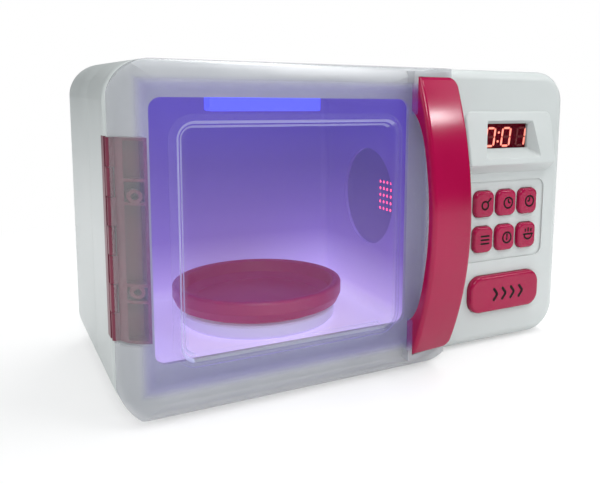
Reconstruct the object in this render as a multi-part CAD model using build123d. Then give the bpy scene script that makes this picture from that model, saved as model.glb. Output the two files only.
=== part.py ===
from build123d import *
import os
from math import atan, cos, pi, radians, sin, sqrt, tan

# A battery-powered toy microwave oven, in millimetres.
# The origin is on the surface it stands on, below the middle of its box. +Z is up, the door faces -Y.

# Case
case_width = 290.0
case_height = 175.0
case_depth = 140.0
foot_height = 2.0
foot_radius = 9.0
wall = 2.5
corner_radius = 20.0
front_edge_radius = 6.0
front_ledge = 4.0
rear_edge_radius = 18.0
shell_join = 50.0
shell_join_gap = 0.3
door_reach = 17.0
handle_reach = 40.0

# General clearances
fit_gap = 0.3
slide_gap = 0.25
seat_gap = 0.1
running_gap = 0.05

# Oven cavity, measured from the middle of the case and from its underside
cavity_side_room = 20.0
cavity_left = case_width / 2 - cavity_side_room
cavity_right = 22.0
cavity_floor = 23.5
cavity_ceiling_room = 18.0
cavity_top = case_height - cavity_ceiling_room
cavity_depth = 106.0
cavity_corner = 6.0
cavity_back_edge = 5.0
liner_wall = 2.0

# Turntable and its drive
table_side_room = 73.0
table_x = cavity_right - table_side_room
table_y = 53.0
table_base_radius = 46.5
table_base_height = 8.0
table_base_skin = 2.0
table_base_round = 2.0
table_socket_floor = 0.4
plate_radius = 50.6
plate_height = 14.6
plate_rim_width = 5.0
plate_rim_round = 1.6
plate_floor = 4.0
plate_foot_inset = 8.0
gear_module = 1.0
pressure_angle = 25.0
tooth_reach = 0.75
tooth_depth = 1.0
backlash = 0.2
table_gear_teeth = 80
small_gear_teeth = 12
large_gear_teeth = 70
motor_gear_teeth = 8
gear_thickness = 4.0
table_gear_level = 14.3
reduction_level = 6.0
motor_gear_face = 3.6
table_shaft_radius = 4.0
hub_radius = 6.0
foot_ring_radius = 3.5
pin_radius = 1.5
pin_end_room = 0.5
chassis_thickness = 2.0
chassis_width = 30.0
chassis_margin = 6.0
chassis_table_reach = 12.0
chassis_leg = 3.0
shelf_width = 28.0
motor_thickness = 15.0
motor_width = 20.0
motor_length = 25.0
motor_shaft_radius = 1.0
motor_plate = 1.2
motor_cap_radius = 3.0
motor_cap_height = 1.5
shaft_flat_share = 0.6

# Door
door_wall = 2.2
door_gap = 1.0
door_panel_gap = 11.6
door_left_inset = 0.5
door_left_round = 20.0
door_right_round = 100.0
door_edge_round = 10.0
pane_side_room = 28.8
pane_left = case_width / 2 - pane_side_room
pane_right = 6.0
pane_bottom = 28.0
pane_ceiling_room = 28.6
pane_top = case_height - pane_ceiling_room
pane_corner = 9.0
pane_bevel = 3.6
pane_sink = 3.5
pane_thickness = 1.8
pane_flange = 3.0
pane_flange_thickness = 1.2
pane_floor_draw = 2.9

# Hinge at the door's left edge
hinge_inset = 1.7
hinge_pin_radius = 0.8
knuckle_radius = 1.65
hinge_bottom = 40.6
hinge_ceiling_room = 36.4
hinge_top = case_height - hinge_ceiling_room
hinge_width = 16.0
hinge_skin = 1.4
hinge_knuckles = 7
hinge_side_reach = 10.0
hinge_side_skin = 1.1
hinge_rib_levels = (hinge_bottom + 20.4, hinge_bottom + 28.4, hinge_top - 30.6, hinge_top - 19.6)
hinge_boss_levels = (hinge_bottom + 25.4, hinge_top - 27.1)
hinge_boss_radius = 3.2
hinge_strip_start = 3.0
hinge_tongue_inset = 0.2

# Control panel
panel_inset = 47.4
panel_x = case_width / 2 - panel_inset
key_pitch_x = 18.0
key_pitch_z = 22.8
key_width = 15.4
key_height = 17.0
key_corner = 4.5
key_stand = 3.0
key_travel = 1.0
key_edge = 1.8
key_flange = 0.8
key_flange_thickness = 1.2
key_plunger_radius = 3.0
key_plunger_length = 3.2
keypad_low_row = 68.7
keypad_recess_width = 65.0
keypad_recess_bottom = 54.2
keypad_recess_top = 105.9
keypad_recess_depth = 1.0
keypad_recess_corner = 6.0
button_width = 57.0
button_height = 24.0
button_level = 33.0
button_stand = 4.0
button_edge = 2.2
button_end_share = 0.72
button_flange = 1.6
button_stem_radius = 3.0
button_stem_inset = 7.0
button_stem_drop = 3.0
button_stem_end = 0.5
cap_root = 0.5
bezel_width = 70.0
bezel_bottom = 111.0
bezel_lip = 117.4
bezel_top = 150.0
bezel_reach = 8.0
bezel_top_reach = 0.6
bezel_corner = 5.0
bezel_edge = 1.5
display_width = 33.4
display_height = 15.7
display_level = 134.3
display_slope = 7.0
display_slope_corner = 2.0
display_slope_end = 0.8
display_corner = 0.6
display_lens_thickness = 1.5
display_lens_margin = 4.0
display_body_depth = 7.0
display_body_inset = 0.5
board_thickness = 1.6
board_setback = 12.0
board_margin = 4.0
board_post_radius = 2.2
chip_size = 16.0
chip_low = 4.0
chip_high = 16.0
chip_thickness = 2.0
mat_thickness = 1.6
mat_dome_radius = 4.5
mat_corner = 3.0

# Handle
door_right = panel_x - bezel_width / 2 - door_panel_gap
handle_edge_room = 9.0
handle_width = 28.0
handle_right = door_right - handle_edge_room
handle_left = handle_right - handle_width
handle_bottom = 11.5
handle_ceiling_room = 5.5
handle_top = case_height - handle_ceiling_room
grip_low_foot = 20.5
grip_high_foot = 20.5
grip_bottom = handle_bottom + grip_low_foot
grip_top = handle_top - grip_high_foot
handle_thickness = 5.2
handle_twist = 2.4
handle_corner = 6.0
handle_edge = 2.4
handle_end_rise = 18.4
handle_shoulder = 31.0
handle_low_rise = 6.4
handle_high_rise = 7.2
grip_flare = 4.0
grip_root = 2.0
grip_bend = 24.0
handle_root_depth = 2.6
handle_seat_rim = 3.0
handle_seat_height = 6.0
handle_screw_radius = 1.5
handle_screw_head = 3.0
handle_screw_shift = 1.0
handle_screw_bite = 2.0
handle_screw_seat = 9.0
handle_screw_head_height = 2.0

# Latch
latch_edge_room = 13.0
latch_slot_left = door_right - latch_edge_room
latch_slot_width = 6.2
latch_hook_inset = 1.0
latch_root_depth = 1.0
latch_hook_thickness = 2.2
latch_hook_height = 10.0
latch_barb = 2.0
latch_barb_length = 3.0
latch_bar_height = 4.0
latch_tooth_depth = 2.6
latch_slot_room = 1.0
latch_tooth_width = 5.0
latch_arm = 3.0
latch_rise = 3.0
latch_bar_depth = 4.0
latch_bar_setback = 14.0
latch_wedge = 7.0
latch_wedge_back = 9.0
ramp_shift = 3.0
rib_width = 4.0
rib_relief = 2.0
bracket_setback = 25.0
bracket_thickness = 2.0
bracket_width = 62.0
bracket_margin = 2.0
bracket_lug = 3.0
bracket_lug_height = 4.0
bracket_shelf_start = 8.0
spring_wire = 0.5
spring_radius = 4.2
spring_turns = 6

# Light, sound and indicator
light_width = 67.0
light_depth = 10.0
light_drop = 8.0
light_y = 41.0
light_rim = 2.0
light_rim_thickness = 1.0
light_edge = 1.2
lamp_size = 5.0
lamp_height = 1.5
lamp_spread = 22.1
grille_radius = 31.0
grille_y = 47.0
grille_level = 94.0
grille_rim = 2.0
grille_thickness = 1.6
sound_hole_radius = 0.9
sound_hole_pitch = 4.2
sound_hole_rows = 5
sound_hole_y = 26.0
sound_hole_level = 96.5
speaker_radius = 14.0
speaker_depth = 9.0
speaker_y = 60.0
speaker_rim_depth = 3.0
speaker_magnet_radius = 7.7
speaker_cone_rim = 2.0
speaker_cone_depth = 1.5
led_radius = 2.5
led_length = 7.0
led_collar = 0.5
led_collar_length = 1.0

# Batteries, at the back behind the control panel
cell_radius = 7.1
cell_length = 50.5
cell_count = 3
cell_pitch = 15.8
tray_rib = 1.0
tray_side_room = 2.0
cell_slack = 0.5
tray_wall = 1.6
tray_bottom = 22.0
tray_screw_strip = 12.0
contact_thickness = 0.5
contact_space = 4.0
contact_width = 10.0
contact_root_radius = 4.0
contact_tip_radius = 2.0
cell_tip_radius = 2.7
cell_tip_height = 1.0
battery_shift = 1.0
tray_floor_room = 1.0
tray_rim = 2.0
tray_rim_thickness = 1.6
tray_strip_overlap = 2.0
tray_boss_radius = 3.4
cover_margin = 1.0
cover_drop = 2.0
cover_corner = 4.0
cover_ridge_count = 5
cover_ridge_pitch = 3.0
cover_ridge_level = 8.0
cover_ridge_length = 24.0
cover_ridge_width = 1.0
cover_ridge_depth = 0.6
cover_thickness = 2.2
cover_screw_radius = 1.2
cover_screw_head = 2.6
cover_screw_length = 12.0
cover_screw_sink = 1.3
cover_screw_tip_room = 1.0
cross_depth = 0.8
cross_length = 3.2
cross_width = 0.8

# Power switch on the back
switch_level = 122.0
switch_width = 20.0
switch_height = 8.0
switch_depth = 7.0
knob_width = 6.0
knob_height = 4.0
knob_sink = 0.0
knob_track_depth = 2.0
switch_travel = 5.0

# Screws that join the two shells, seen from the back
post_inset_x = 10.5
post_inset_z = 17.0
front_post_radius = 4.0
rear_post_radius = 4.6
case_screw_radius = 1.4
case_screw_head = 3.0
case_screw_head_height = 2.2
case_screw_grip = 8.0
case_screw_length = 22.0
case_screw_bite = 0.15
case_screw_shank_gap = 0.2
case_screw_slot_length = 4.0
case_screw_slot_width = 0.8
case_screw_slot_depth = 1.0

# Cooling slots in the back
vent_count = 8
vent_length = 70.0
vent_height = 2.6
vent_corner = 1.29
vent_pitch = 7.0
vent_x = table_x
vent_level = 95.0

# Feet
foot_inset_x = 33.0
foot_inset_front = 20.0
foot_inset_back = 30.0
foot_edge = 0.6

PANEL_Y = handle_reach - (case_depth + handle_reach) / 2
HINGE_X = -case_width / 2 + hinge_inset
HINGE_Y = -0.8
REACH = 60.0
CUT = 1.0


def back(distance):
    """Y of a plane that lies this far behind the face of the control panel."""
    return PANEL_Y + distance


def up(level):
    """Z of a level above the underside of the case."""
    return foot_height + level


def block(x0, x1, y0, y1, z0, z1):
    """A box between two corners. Y is behind the panel and Z above the underside."""
    size = Box(x1 - x0, y1 - y0, z1 - z0)
    return Pos((x0 + x1) / 2, back((y0 + y1) / 2), up((z0 + z1) / 2)) * size


def rod_y(x, z, radius, y0, y1):
    """A round bar along Y."""
    bar = Rot(90, 0, 0) * Cylinder(radius, y1 - y0)
    return Pos(x, back((y0 + y1) / 2), up(z)) * bar


def rod_z(x, y, radius, z0, z1):
    """An upright round bar."""
    return Pos(x, back(y), up((z0 + z1) / 2)) * Cylinder(radius, z1 - z0)


def rod_x(y, z, radius, x0, x1):
    """A round bar along X."""
    bar = Rot(0, 90, 0) * Cylinder(radius, x1 - x0)
    return Pos((x0 + x1) / 2, back(y), up(z)) * bar


def slab(x0, x1, z0, z1, corner, y0, y1):
    """A plate that faces the front, with four round corners."""
    outline = RectangleRounded(x1 - x0, z1 - z0, corner)
    face = Plane(origin=((x0 + x1) / 2, back(y0), up((z0 + z1) / 2)), x_dir=(1, 0, 0), z_dir=(0, 1, 0))
    return extrude(face * outline, y1 - y0)


def tapered(x0, x1, z0, z1, corner, y0, y1, draw):
    """A plate whose outline shrinks by draw on every side from its front y0 to its back y1."""
    middle_x = (x0 + x1) / 2
    middle_z = up((z0 + z1) / 2)
    near = Plane(origin=(middle_x, back(y0), middle_z), x_dir=(1, 0, 0), z_dir=(0, 1, 0))
    far = Plane(origin=(middle_x, back(y1), middle_z), x_dir=(1, 0, 0), z_dir=(0, 1, 0))
    large = near * RectangleRounded(x1 - x0, z1 - z0, corner)
    small = far * RectangleRounded(x1 - x0 - 2 * draw, z1 - z0 - 2 * draw, max(corner - draw, 0.5))
    return loft([large, small])


def keep(name, shape):
    """Writes one node's solids to its own file."""
    shape.label = name
    export_step(shape, os.path.join("parts", name + ".step"))


# Case shells
def case_blank(inset, y0, y1):
    """The outer form of the case, drawn in by inset, between two planes."""
    half = case_width / 2 - inset
    return slab(-half, half, inset, case_height - inset, corner_radius - inset, y0, y1)


def screw_posts():
    """Places of the four screws that join the shells."""
    x = case_width / 2 - post_inset_x
    return [(sx * x, z) for sx in (-1, 1) for z in (post_inset_z, case_height - post_inset_z)]


def keypad_places():
    """Middles of the six keys, the upper row first."""
    columns = (-key_pitch_x, 0.0, key_pitch_x)
    rows = (keypad_low_row + key_pitch_z, keypad_low_row)
    return [(panel_x + dx, z) for z in rows for dx in columns]


def display_bezel():
    """The wedge above the keys that shades the display."""
    profile = make_face(Polyline(
        (back(0), up(bezel_bottom)),
        (back(-bezel_reach), up(bezel_lip)),
        (back(-bezel_top_reach), up(bezel_top)),
        (back(wall / 2), up(bezel_top)),
        (back(wall / 2), up(bezel_bottom)),
        close=True))
    side = Plane(origin=(panel_x - bezel_width / 2, 0, 0), x_dir=(0, 1, 0), z_dir=(1, 0, 0))
    wedge = extrude(side * profile, bezel_width)
    outline = slab(panel_x - bezel_width / 2, panel_x + bezel_width / 2, bezel_bottom, bezel_top,
                   bezel_corner, -2 * bezel_reach, wall / 2)
    bezel = wedge & outline
    front = [edge for edge in bezel.edges() if edge.center().Y < back(-bezel_top_reach / 2)]
    return fillet(front, bezel_edge)


def display_opening():
    """The sloping hole that leads to the display."""
    half = display_width / 2
    low = display_level - display_height / 2
    high = display_level + display_height / 2
    slope = tapered(panel_x - half - display_slope, panel_x + half + display_slope, low - display_slope,
                    high + display_slope, display_slope_corner, -bezel_reach - CUT, display_slope_end,
                    display_slope)
    hole = slab(panel_x - half, panel_x + half, low, high, display_corner, -CUT, wall + CUT)
    return slope + hole


def hinge_clearance():
    """The room that the hinge's knuckles turn in."""
    return rod_z(HINGE_X, HINGE_Y, knuckle_radius + fit_gap, hinge_bottom - fit_gap, hinge_top + fit_gap)


def hinge_slot():
    """The slot in the door's rear edge that the leaf's tongues pass through."""
    low_y = HINGE_Y - knuckle_radius - fit_gap
    return block(HINGE_X, HINGE_X + 4 * knuckle_radius, low_y, 0, hinge_bottom - fit_gap, hinge_top + fit_gap)


def side_leaf_pocket(gap):
    """The hollow in the case's side that holds the fixed leaf of the hinge."""
    side = -case_width / 2
    return block(side - CUT, side + hinge_side_skin + gap, HINGE_Y - 2 * CUT, hinge_side_reach + gap,
                 hinge_bottom - gap, hinge_top + gap)


def front_shell():
    """The front half of the case with the control panel."""
    outer = case_blank(0, 0, shell_join - shell_join_gap / 2)
    front_edges = outer.faces().sort_by(Axis.Y)[0].edges()
    outer = fillet(front_edges, front_edge_radius)
    shell = outer - case_blank(wall, wall, shell_join)
    inner_edge = block(-case_width / 2, case_width / 2, 0, 2 * wall, 0, case_height) & outer
    ledge = inner_edge - case_blank(front_ledge, wall / 2, 3 * wall)
    shell = shell + ledge
    shell = shell + display_bezel()
    for x, z in screw_posts():
        shell = shell + rod_y(x, z, front_post_radius, wall / 2, shell_join - shell_join_gap / 2)
    shell = shell - slab(-cavity_left, cavity_right, cavity_floor, cavity_top, cavity_corner,
                         -CUT, wall + CUT)
    shell = shell - display_opening()
    half = keypad_recess_width / 2
    shell = shell - slab(panel_x - half, panel_x + half, keypad_recess_bottom, keypad_recess_top,
                         keypad_recess_corner, -CUT, keypad_recess_depth)
    for x, z in keypad_places():
        shell = shell - key_outline(x, z, slide_gap, -CUT, wall + CUT)
    shell = shell - button_outline(slide_gap, -CUT, wall + CUT)
    for x, z in board_post_places():
        shell = shell + rod_y(x, z, board_post_radius, wall / 2, board_setback)
    slot_half = latch_hook_height / 2 + latch_slot_room
    shell = shell - block(latch_slot_left, latch_slot_left + latch_slot_width, -CUT, wall + CUT,
                          button_level - slot_half, button_level + slot_half)
    for x, z in screw_posts():
        bite = case_screw_radius - case_screw_bite
        shell = shell - rod_y(x, z, bite, shell_join - case_screw_length, shell_join)
    shell = shell - hinge_clearance() - side_leaf_pocket(seat_gap)
    return shell


def rear_shell():
    """The back half of the case with its cooling slots and battery opening."""
    join = shell_join + shell_join_gap / 2
    outer = case_blank(0, join, case_depth)
    outer = fillet(outer.faces().sort_by(Axis.Y)[-1].edges(), rear_edge_radius)
    inner = case_blank(wall, join - CUT, case_depth - wall)
    inner = fillet(inner.faces().sort_by(Axis.Y)[-1].edges(), rear_edge_radius - wall)
    shell = outer - inner
    for x, z in screw_posts():
        post = rod_y(x, z, rear_post_radius, join, case_depth) & outer
        shell = shell + post
    for x, z in screw_posts():
        shell = shell - rod_y(x, z, case_screw_radius + slide_gap, join - CUT, case_depth)
        shell = shell - rod_y(x, z, case_screw_head + slide_gap, shell_join + case_screw_grip,
                              case_depth + CUT)
    for row in range(vent_count):
        z = vent_level + (row - (vent_count - 1) / 2) * vent_pitch
        shell = shell - slab(vent_x - vent_length / 2, vent_x + vent_length / 2, z - vent_height / 2,
                             z + vent_height / 2, vent_corner, case_depth - 2 * wall, case_depth + CUT)
    shell = shell - cover_blank(fit_gap, case_depth - 2 * wall, case_depth + CUT)
    return shell - knob_track(case_depth - 2 * wall, case_depth + CUT)


def foot(x, y):
    """One rubber foot with a rounded lower edge."""
    pad = rod_z(x, y, foot_radius, -foot_height, 0)
    return fillet(pad.faces().sort_by(Axis.Z)[0].edges(), foot_edge)


# Cavity
def cavity_liner():
    """The five-sided box that the turntable stands in."""
    left = -cavity_left
    outer = slab(left - liner_wall, cavity_right + liner_wall, cavity_floor - liner_wall,
                 cavity_top + liner_wall, cavity_corner + liner_wall, wall, wall + cavity_depth + liner_wall)
    inner = slab(left, cavity_right, cavity_floor, cavity_top, cavity_corner, wall - CUT, wall + cavity_depth)
    inner = fillet(inner.faces().sort_by(Axis.Y)[-1].edges(), cavity_back_edge)
    liner = outer - inner
    liner = liner - rod_z(table_x, table_y, table_shaft_radius + running_gap, cavity_floor - liner_wall - CUT,
                          cavity_floor + CUT)
    liner = liner - rod_x(grille_y, grille_level, grille_radius, cavity_right - CUT,
                          cavity_right + 2 * liner_wall)
    half = light_width / 2 + slide_gap
    deep = light_depth / 2 + slide_gap
    return liner - block(table_x - half, table_x + half, light_y - deep, light_y + deep,
                         cavity_top - CUT, cavity_top + liner_wall + CUT)


def speaker_grille():
    """The round cover in the cavity's right wall, pierced in front for sound and light."""
    x0 = cavity_right + liner_wall
    disc = rod_x(grille_y, grille_level, grille_radius + grille_rim, x0, x0 + grille_thickness)
    span = (sound_hole_rows - 1) / 2
    for row in range(sound_hole_rows):
        for column in range(sound_hole_rows):
            y = sound_hole_y + (column - span) * sound_hole_pitch
            z = sound_hole_level + (row - span) * sound_hole_pitch
            disc = disc - rod_x(y, z, sound_hole_radius, x0 - CUT, x0 + grille_thickness + CUT)
    return disc


def speaker():
    """The small loudspeaker behind the round cover."""
    x0 = cavity_right + liner_wall + grille_thickness
    basket = rod_x(speaker_y, grille_level, speaker_radius, x0, x0 + speaker_rim_depth)
    magnet = rod_x(speaker_y, grille_level, speaker_magnet_radius, x0 + speaker_rim_depth, x0 + speaker_depth)
    cone = rod_x(speaker_y, grille_level, speaker_radius - speaker_cone_rim,
                 x0 - CUT, x0 + speaker_cone_depth)
    return basket + magnet - cone


def indicator_led():
    """The red lamp that shines through the sound holes."""
    x0 = cavity_right + liner_wall + grille_thickness
    body = rod_x(sound_hole_y, sound_hole_level, led_radius, x0 + fit_gap, x0 + led_length)
    collar = rod_x(sound_hole_y, sound_hole_level, led_radius + led_collar,
                   x0 + led_length - led_collar_length, x0 + led_length)
    return body + collar


def light_lens():
    """The frosted bar below the ceiling that spreads the blue light."""
    half = light_width / 2
    y0 = light_y - light_depth / 2
    y1 = light_y + light_depth / 2
    bar = block(table_x - half, table_x + half, y0, y1, cavity_top - light_drop, cavity_top + liner_wall)
    bar = fillet(bar.faces().sort_by(Axis.Z)[0].edges(), light_edge)
    top = cavity_top + liner_wall
    rim = block(table_x - half - light_rim, table_x + half + light_rim, y0 - light_rim, y1 + light_rim,
                top, top + light_rim_thickness)
    return bar + rim


def light_board():
    """The strip of circuit board above the lens, with three lamps below it."""
    half = light_width / 2
    z0 = cavity_top + liner_wall + light_rim_thickness
    z1 = z0 + lamp_height
    board = block(table_x - half, table_x + half, light_y - light_depth / 2, light_y + light_depth / 2,
                  z1, z1 + board_thickness)
    for side in (-1, 0, 1):
        x = table_x + side * lamp_spread
        board = board + block(x - lamp_size / 2, x + lamp_size / 2, light_y - lamp_size / 2,
                              light_y + lamp_size / 2, z0, z1)
    return board


# Gears
def gear_point(base_radius, radius, half_angle, side):
    """A point on one side of a tooth that is drawn about the X axis."""
    roll = sqrt(max((radius / base_radius) ** 2 - 1, 0))
    swing = half_angle - (roll - atan(roll))
    return (radius * cos(swing), side * radius * sin(swing))


def gear_sketch(teeth, phase):
    """A spur gear's outline with involute teeth, turned by phase degrees."""
    pitch = gear_module * teeth / 2
    base = pitch * cos(radians(pressure_angle))
    tip = pitch + tooth_reach * gear_module
    root = pitch - tooth_depth * gear_module
    start = max(base, root + running_gap)
    roll = tan(radians(pressure_angle))
    half_angle = (pi * gear_module / 2 - backlash) / (2 * pitch) + roll - radians(pressure_angle)
    levels = [start, (start + pitch) / 2, pitch, (pitch + tip) / 2, tip]
    rising = [gear_point(base, r, half_angle, -1) for r in levels]
    falling = [gear_point(base, r, half_angle, 1) for r in reversed(levels)]
    foot_angle = half_angle - (sqrt((start / base) ** 2 - 1) - atan(sqrt((start / base) ** 2 - 1)))
    tooth = [(root * cos(foot_angle), -root * sin(foot_angle))] + rising + falling
    tooth = tooth + [(root * cos(foot_angle), root * sin(foot_angle))]
    points = []
    for index in range(teeth):
        turn = 2 * pi * index / teeth + radians(phase)
        points = points + [(x * cos(turn) - y * sin(turn), x * sin(turn) + y * cos(turn)) for x, y in tooth]
    return make_face(Polyline(*points, close=True))


def spur_gear(x, y, teeth, phase, z0, z1):
    """A spur gear with an upright axis."""
    plane = Plane(origin=(x, back(y), up(z0)))
    return extrude(plane * gear_sketch(teeth, phase), z1 - z0)


def reduction_x():
    """X of the reduction gear, which meshes with the turntable's gear."""
    return table_x + gear_module * (table_gear_teeth + small_gear_teeth) / 2


def motor_x():
    """X of the motor, whose gear meshes with the reduction gear."""
    return reduction_x() + gear_module * (large_gear_teeth + motor_gear_teeth) / 2


def turntable_gear():
    """The large gear below the floor, with the shaft that turns the table."""
    floor = wall + chassis_thickness + fit_gap
    gear = spur_gear(table_x, table_y, table_gear_teeth, 0, table_gear_level,
                     table_gear_level + gear_thickness)
    hub = rod_z(table_x, table_y, hub_radius, floor, table_gear_level + gear_thickness)
    shaft_top = cavity_floor + fit_gap + table_base_height - plate_floor
    shaft = rod_z(table_x, table_y, table_shaft_radius, table_gear_level, shaft_top)
    flat = block(table_x - table_shaft_radius, table_x + table_shaft_radius,
                 table_y + table_shaft_radius * shaft_flat_share, table_y + table_shaft_radius + CUT,
                 cavity_floor + fit_gap, shaft_top + CUT)
    bore = rod_z(table_x, table_y, pin_radius + running_gap, floor - CUT, cavity_floor - liner_wall)
    return gear + hub + shaft - flat - bore


def reduction_gear():
    """A large gear and a small one moulded together."""
    x = reduction_x()
    floor = wall + chassis_thickness + fit_gap
    top = table_gear_level + gear_thickness
    large = spur_gear(x, table_y, large_gear_teeth, 0, reduction_level, reduction_level + motor_gear_face)
    mesh_phase = 180 + 180 / small_gear_teeth
    small = spur_gear(x, table_y, small_gear_teeth, mesh_phase, reduction_level, top)
    foot_ring = rod_z(x, table_y, foot_ring_radius, floor, reduction_level)
    return large + small + foot_ring - rod_z(x, table_y, pin_radius + running_gap, floor - CUT, top + CUT)


def motor_pinion():
    """The small gear on the motor's shaft, with the turning shaft itself."""
    phase = 180 + 180 / motor_gear_teeth
    gear = spur_gear(motor_x(), table_y, motor_gear_teeth, phase, reduction_level,
                     reduction_level + motor_gear_face)
    plate_top = reduction_level + motor_gear_face + fit_gap + motor_plate
    shaft = rod_z(motor_x(), table_y, motor_shaft_radius, reduction_level, plate_top + motor_length / 2)
    return gear + shaft


def motor():
    """The can of the small electric motor, standing on its plate."""
    base = reduction_level + motor_gear_face + fit_gap + motor_plate
    can = rod_z(motor_x(), table_y, motor_width / 2, base, base + motor_length)
    half = motor_thickness / 2
    sides = block(motor_x() - half, motor_x() + half, table_y - motor_width, table_y + motor_width,
                  base, base + motor_length)
    top = base + motor_length
    cap = rod_z(motor_x(), table_y, motor_cap_radius, top, top + motor_cap_height)
    bore = rod_z(motor_x(), table_y, motor_shaft_radius + running_gap,
                 base - CUT, base + motor_length / 2 + CUT)
    return (can & sides) + cap - bore


def gear_chassis():
    """The plate on the case's floor that carries the gears and the motor."""
    right = motor_x() + motor_thickness / 2 + chassis_margin
    half = chassis_width / 2
    plate = block(table_x - chassis_table_reach, right, table_y - half, table_y + half,
                  wall, wall + chassis_thickness)
    shelf_bottom = reduction_level + motor_gear_face + fit_gap
    shelf_top = shelf_bottom + motor_plate
    shelf_left = cavity_right + liner_wall + fit_gap
    shelf_half = shelf_width / 2
    shelf = block(shelf_left, right, table_y - shelf_half, table_y + shelf_half, shelf_bottom, shelf_top)
    leg = block(right - chassis_leg, right, table_y - shelf_half, table_y + shelf_half, wall, shelf_top)
    chassis = plate + shelf + leg
    for x in (table_x, reduction_x()):
        chassis = chassis - rod_z(x, table_y, pin_radius, wall - CUT, wall + chassis_thickness + CUT)
    return chassis - rod_z(motor_x(), table_y, motor_shaft_radius + running_gap, shelf_bottom - CUT,
                           shelf_top + CUT)


def gear_pins():
    """Two steel pins that the gears turn on."""
    first = rod_z(table_x, table_y, pin_radius, wall, cavity_floor - liner_wall - pin_end_room)
    second = rod_z(reduction_x(), table_y, pin_radius, wall, table_gear_level + gear_thickness)
    return Compound([first, second])


def ring(x, y, outline):
    """A turned part with an upright axis. The outline is a list of radius and level."""
    face = make_face(Polyline(*[(x + r, up(z)) for r, z in outline], close=True))
    plane = Plane(origin=(0, back(y), 0), x_dir=(1, 0, 0), z_dir=(0, -1, 0))
    return revolve(plane * face, Axis((x, back(y), 0), (0, 0, 1)), 360)


def turntable_base():
    """The white disc that the plate stands on, hollow below."""
    low = cavity_floor + fit_gap
    top = low + table_base_height
    skin = table_base_skin
    outer = table_base_radius
    hub = hub_radius + skin
    outline = [(0, top), (outer - skin / 2, top), (outer, top - skin / 2), (outer, low + table_base_round),
               (outer - table_base_round, low), (outer - 2 * skin, low), (outer - 2 * skin, top - skin),
               (hub, top - skin), (hub, low + table_socket_floor), (0, low + table_socket_floor)]
    disc = ring(table_x, table_y, outline)
    shaft_top = top - plate_floor
    socket = rod_z(table_x, table_y, table_shaft_radius + seat_gap, low - CUT, shaft_top + seat_gap)
    flat = block(table_x - table_shaft_radius - CUT, table_x + table_shaft_radius + CUT,
                 table_y + table_shaft_radius * shaft_flat_share + seat_gap,
                 table_y + table_shaft_radius + 2 * CUT, low - CUT, shaft_top + CUT)
    return disc - (socket - flat)


def turntable_plate():
    """The magenta plate with its raised rim, which lifts off."""
    low = cavity_floor + 2 * fit_gap + table_base_height
    top = low + plate_height
    outer = plate_radius
    inner = plate_radius - plate_rim_width
    edge = plate_rim_round
    foot = plate_foot_inset
    shoulder = low + plate_height / 2
    outline = [(0, low), (outer - foot, low), (outer - foot / 4, low + foot / 3), (outer, shoulder),
               (outer, top - edge), (outer - edge / 3, top - edge / 3), (outer - edge, top),
               (inner + edge, top), (inner, top - edge / 2), (inner - edge, shoulder), (inner - foot, low + plate_floor),
               (0, low + plate_floor)]
    return ring(table_x, table_y, outline)


# Door
def door_plan(inset):
    """The door's outline seen from above, drawn in by inset."""
    left = -case_width / 2 + door_left_inset
    radius = door_left_round
    small = radius - inset
    centre_x = left + radius
    centre_y = -door_reach + radius
    front = -door_reach + inset
    rear = -door_gap + (2 * inset if inset > 0 else 0)
    rear_drop = centre_y - rear
    start_x = centre_x - sqrt(small ** 2 - rear_drop ** 2)
    angle = radians(45)
    middle = (centre_x - small * sin(angle), centre_y - small * cos(angle))
    big = door_right_round - inset
    big_y = -door_reach + door_right_round
    bend_x = door_right - sqrt(door_right_round ** 2 - (big_y + door_gap) ** 2)
    end_x = bend_x + sqrt(big ** 2 - (big_y - rear) ** 2)
    share = atan((end_x - bend_x) / (big_y - rear)) / 2
    right_middle = (bend_x + big * sin(share), big_y - big * cos(share))
    edges = [
        ThreePointArc((start_x, back(rear)), (middle[0], back(middle[1])), (centre_x, back(front))),
        Line((centre_x, back(front)), (bend_x, back(front))),
        ThreePointArc((bend_x, back(front)), (right_middle[0], back(right_middle[1])), (end_x, back(rear))),
        Line((end_x, back(rear)), (start_x, back(rear))),
    ]
    return make_face(Wire(edges))


def door_side(inset):
    """The door's outline seen from its end, with round edges above and below."""
    front = -door_reach + inset
    rear = REACH
    low = inset
    high = case_height - inset
    radius = door_edge_round - inset * 0.6
    shape = Polyline((back(rear), up(low)), (back(front), up(low)), (back(front), up(high)),
                     (back(rear), up(high)), close=True)
    face = make_face(shape)
    corners = [v for v in face.vertices() if abs(v.X - back(front)) < 0.01]
    return fillet(corners, radius)


def door_blank(inset):
    """The door's closed outer form, drawn in by inset."""
    plan = extrude(Plane(origin=(0, 0, 0)) * door_plan(inset), case_height + foot_height)
    plane = Plane(origin=(-case_width, 0, 0), x_dir=(0, 1, 0), z_dir=(1, 0, 0))
    side = extrude(plane * door_side(inset), 2 * case_width)
    half = case_width / 2
    left = -half + door_left_inset
    outline = slab(left + inset, half + REACH, inset, case_height - inset, corner_radius - inset,
                   -REACH, REACH)
    return plan & side & outline


def pane_opening(margin, y0, y1):
    """The door's window, larger by margin all round."""
    return slab(-pane_left - margin, pane_right + margin, pane_bottom - margin, pane_top + margin,
                pane_corner + margin, y0, y1)


def handle_screw_places():
    """Levels of the two screws that hold the handle."""
    low = (handle_bottom + grip_bottom) / 2 - handle_screw_shift
    high = (handle_top + grip_top) / 2 + handle_screw_shift
    return (low, high)


def handle_x():
    """X of the middle of the handle."""
    return (handle_left + handle_right) / 2


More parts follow.
